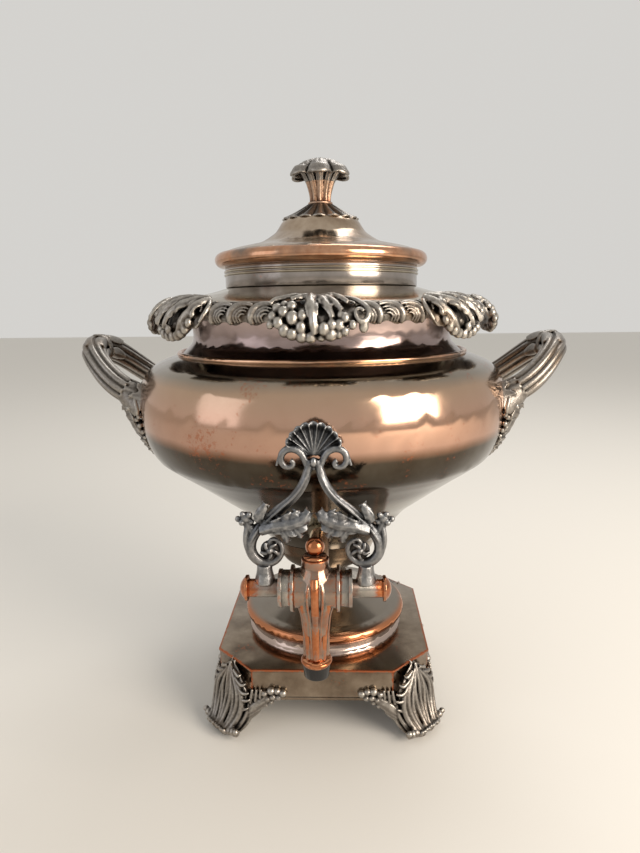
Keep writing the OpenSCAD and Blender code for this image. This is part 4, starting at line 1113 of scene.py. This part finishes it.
lever = {
    "across": -150,
    # bars: across, height, depth where there is one, radius; first an arm, from the meeting point to the spiral's end
    "arm": [(1.6, 219, 2), (3, 214.6, 2.3), (4.9, 207.9, 2.5), (8.3, 201.8, 2.6), (12.9, 196.9, 2.7),
            (19.7, 191, 2.9), (26, 185.6, 3), (31.8, 180, 3.2), (34.8, 173.4, 3.1), (34.4, 167.4, 3),
            (30.6, 163, 2.8), (25.6, 161.6, 2.5), (20.6, 163.4, 2.1), (17.4, 168, 1.6), (18, 173.2, 1.4),
            (21.8, 176, 1.3), (24.6, 174.4, 1.3), (25, 171, 1.2)],
    "volute": [(3, 214.6, 1.6), (5, 221, 1.9), (8.2, 224.6, 2.1), (12.8, 225.6, 2.1), (16.6, 223.2, 2),
               (17.4, 218.8, 1.8), (15, 215.2, 1.6), (11.4, 215.4, 1.5), (10.4, 218, 1.4), (12.2, 219, 1.5)],
    # creases of the sheath leaf that wraps the arm, stem of the bud, midrib of the large leaf
    "creases": [[(3.4, 212, -2, 0.5), (6, 205.6, -2.5, 0.7), (10.6, 199.8, -2.8, 0.8), (17, 194, -3, 0.9),
                 (24, 188, -3.2, 1), (30, 182.4, -3.2, 0.9), (34, 175, -2.8, 0.6)],
                [(10.6, 201.6, -1.4, 0.5), (16, 196.6, -1.8, 1.1), (22.6, 191.6, -2, 1.4), (28, 186.8, -2, 1.2),
                 (32.6, 181, -1.6, 0.6)],
                [(35.6, 184.6, -1, 1.4), (37, 179, -1.8, 1.5), (37.2, 172, -1.8, 1.2), (35.4, 165.6, -1.2, 0.6)],
                [(16.8, 223.4, 1.1), (18.6, 219.4, 1.1), (19.6, 216, 0.6)],
                [(33.4, 179.4, 2.4), (35.6, 183.6, 2.8), (36.6, 187, 2.9)],
                [(31.6, 179.6, -1.4, 1.4), (25.6, 183.6, -2.4, 1.5), (18, 185.2, -3, 1.2), (10.6, 186.4, -2.8, 0.9),
                 (5, 189.4, -1.6, 0.5)]],
    # block that stands on the plug
    "block": [(27.4, 161, 4), (27.4, 157.4, 4.3), (27.4, 154.4, 5.2), (27.4, 151, 5.8)],
    "rosette": (24.2, 169.4),
    # bud with curled petals on the shoulder of the arm: across, depth, height, radius
    "bud": [(36.4, -0.8, 188, 3.1), (40.8, -0.4, 187, 1.7), (38.6, -2.2, 185.6, 1.7), (38, -2, 190.2, 1.6),
            (34.4, -2.4, 190, 1.7), (33.6, -1.6, 186, 1.6)],
    # leaves: line, half widths, teeth, crown, thickness, bite; the second is the large one that points inwards
    "leaves": [([(30, 187, 1.2), (28.2, 191.4, 2.6), (25.2, 196.6, 1.8)], [1.4, 2.6, 2.6, 0.5], 3, 0.9, 2.6),
               ([(28.6, 181.4, 1.4), (20.4, 184.2, 2.4), (12.4, 185.6, 2.8), (6.4, 188, 2.4), (2.7, 192, 1)],
                [1, 3.2, 6.2, 6.8, 4.4, 0.5], 5, 1.7, 2.8, 0.4),
               ([(19, 184, 2), (15.4, 180, 2.6), (14.6, 175.6, 1.6)], [1.2, 2.6, 2.2, 0.4], 2, 1, 2.4),
               ([(12.6, 185, 2.2), (9, 182, 2.8), (7.2, 178.4, 1.8)], [1.2, 2.4, 2, 0.4], 2, 1, 2.4),
               ([(16, 186, 2), (11.4, 189.6, 2.8), (9.6, 193, 2)], [1, 2.2, 1.8, 0.4], 2, 1, 2.4)],
    # shell over the meeting of the two arms: flutes, height of its root, half of its spread
    "shell": (9, 220.6, math.radians(64)),
    "shellStem": [(0, 220, 2.4), (0, 216.6, 2), (0, 213.8, 0.9)],
}


def upright(across, height, depth=0):
    return across, depth, height


def leverArm():
    pieces = [taper(rows, upright) for rows in [lever["arm"], lever["volute"]] + lever["creases"]]
    pieces.append(taper(lever["block"], upright, 4))
    pieces += [ball(spot, size) for *spot, size in lever["bud"]]
    # a leaf of flat work stood upright: x stays, y becomes the height, z comes towards the user
    stand = Matrix(((1, 0, 0, 0), (0, 0, -1, 0), (0, 1, 0, 0), (0, 0, 0, 1)))
    pieces += [moved(leafStrip(*leaf), stand) for leaf in lever["leaves"]]
    # open rosette that fills the spiral
    across, height = lever["rosette"]
    pieces += [ball((across, 0.6, height), 5.4, (1, 0.26, 1)), ball((across, -1.7, height), 1.7)]
    for k in range(5):
        start, bend = math.radians(72 * k + 20), math.radians(72 * k + 64)
        pieces.append(taper([(across + out * math.cos(turn), height + out * math.sin(turn), depth, wide)
                             for out, turn, depth, wide in ((1.2, start, -1, 0.9), (3.4, start + 0.3, -1.9, 1.35),
                                                            (5, bend, -0.8, 0.9))], upright))
    return pieces


def leverCrest():
    # hollow-fluted shell with a bead under it
    count, root, spread = lever["shell"]

    def shell(u, v):
        turn = u * spread
        swell = abs(math.sin((u + 1) / 2 * count * math.pi))
        reach = (1 + (15.4 + 3.2 * math.cos(turn) ** 2) * (v + 1) / 2) * (0.93 + 0.07 * swell ** 0.6)
        share = (v + 1) / 2
        hollow = 2.2 * share * (1 - swell ** 0.8)
        lip = math.exp(-((share - 0.93) / 0.07) ** 2)
        return Vector((reach * math.sin(turn), -0.8 - hollow - lip + 1.2 * abs(u), root + reach * math.cos(turn)))

    return [sheet(108, 20, shell, 2.6), ball((0, -1.6, 218.4), 2.2, (0.9, 1, 1.25)),
            taper(lever["shellStem"], upright)]


half = joined(leverArm())
whole = cast([half, mirrored(duplicate(half), (1, 0, 0))] + leverCrest(), 0.38, 0.45, 0.45, 6)
finish(moved(whole, Matrix.Translation((0, lever["across"], 0))), "tapLever", "tap_key", castLever, "tap_lever")
print("lever is made")

# tap body

tap = {
    "across": -150,
    "level": 147.5,
    # swelling of the body round the plug: height from the plug, radius
    "swell": [(17, 6.2), (13, 7.4), (8, 9.6), (2, 11), (-4, 10.8), (-9, 9), (-14, 6.6)],
    # the spout's own radius, from this far under the plug on
    "spout": (18, 6.1),
    # how far a bar stands off the body on its way down, and its radii on a ridge
    "rise": (-0.4, 0.5, 0.9, 1.3, 1.8, 1.5, 0.9, 0.2),
    "ridge": (0.5, 0.8, 0.9, 0.9, 0.8, 0.8, 0.8, 0.8),
    # angle round the spout low down, angle at the top, height of the top; tongues also have a radius
    "tongues": [(0, 0, 8, 2.5), (-47, -42, 4.6, 2.1), (47, 42, 4.6, 2.1)],
    "ridges": [(-23, -21, 6.4), (23, 21, 6.4), (-74, -62, 1.5), (74, 62, 1.5), (-110, -90, -2), (110, 90, -2)],
}


def downSpout(low, lean, top, radii, proud):
    # bar that starts high on the swelling and runs down the spout
    depths, widths = zip(*[(-height, radius) for height, radius in tap["swell"]], tap["spout"])
    points = []
    for height, rise in zip((top, top - 2.4, top - 6, -8, -14, -22, -28, -39.4), tap["rise"]):
        around = float(np.interp(-height, depths, widths)) + rise + proud
        turn = math.radians(float(np.interp(height, [-14, top], [low, lean])))
        points.append((math.sin(turn) * around, tap["across"] - math.cos(turn) * around, tap["level"] + height))
    return rod(points, radii)


body = [copyNode("tap_body"), taper(tap["swell"], lambda height: (0, tap["across"], tap["level"] + height), 5)]
body += [downSpout(*ridge, tap["ridge"], -0.4) for ridge in tap["ridges"]]
finish(cast(body, 0.38, 0.6, 0.4, 5), "tapBody", "urn", silveredTap, "tap_body")
tongues = [downSpout(*tongue, [wide] * 8, 0.75 - wide) for *tongue, wide in tap["tongues"]]
finish(cast(tongues, 0.33, 0.6, 0.4, 5), "spoutTongues", "urn", bareCopper)
print("tap body is made")
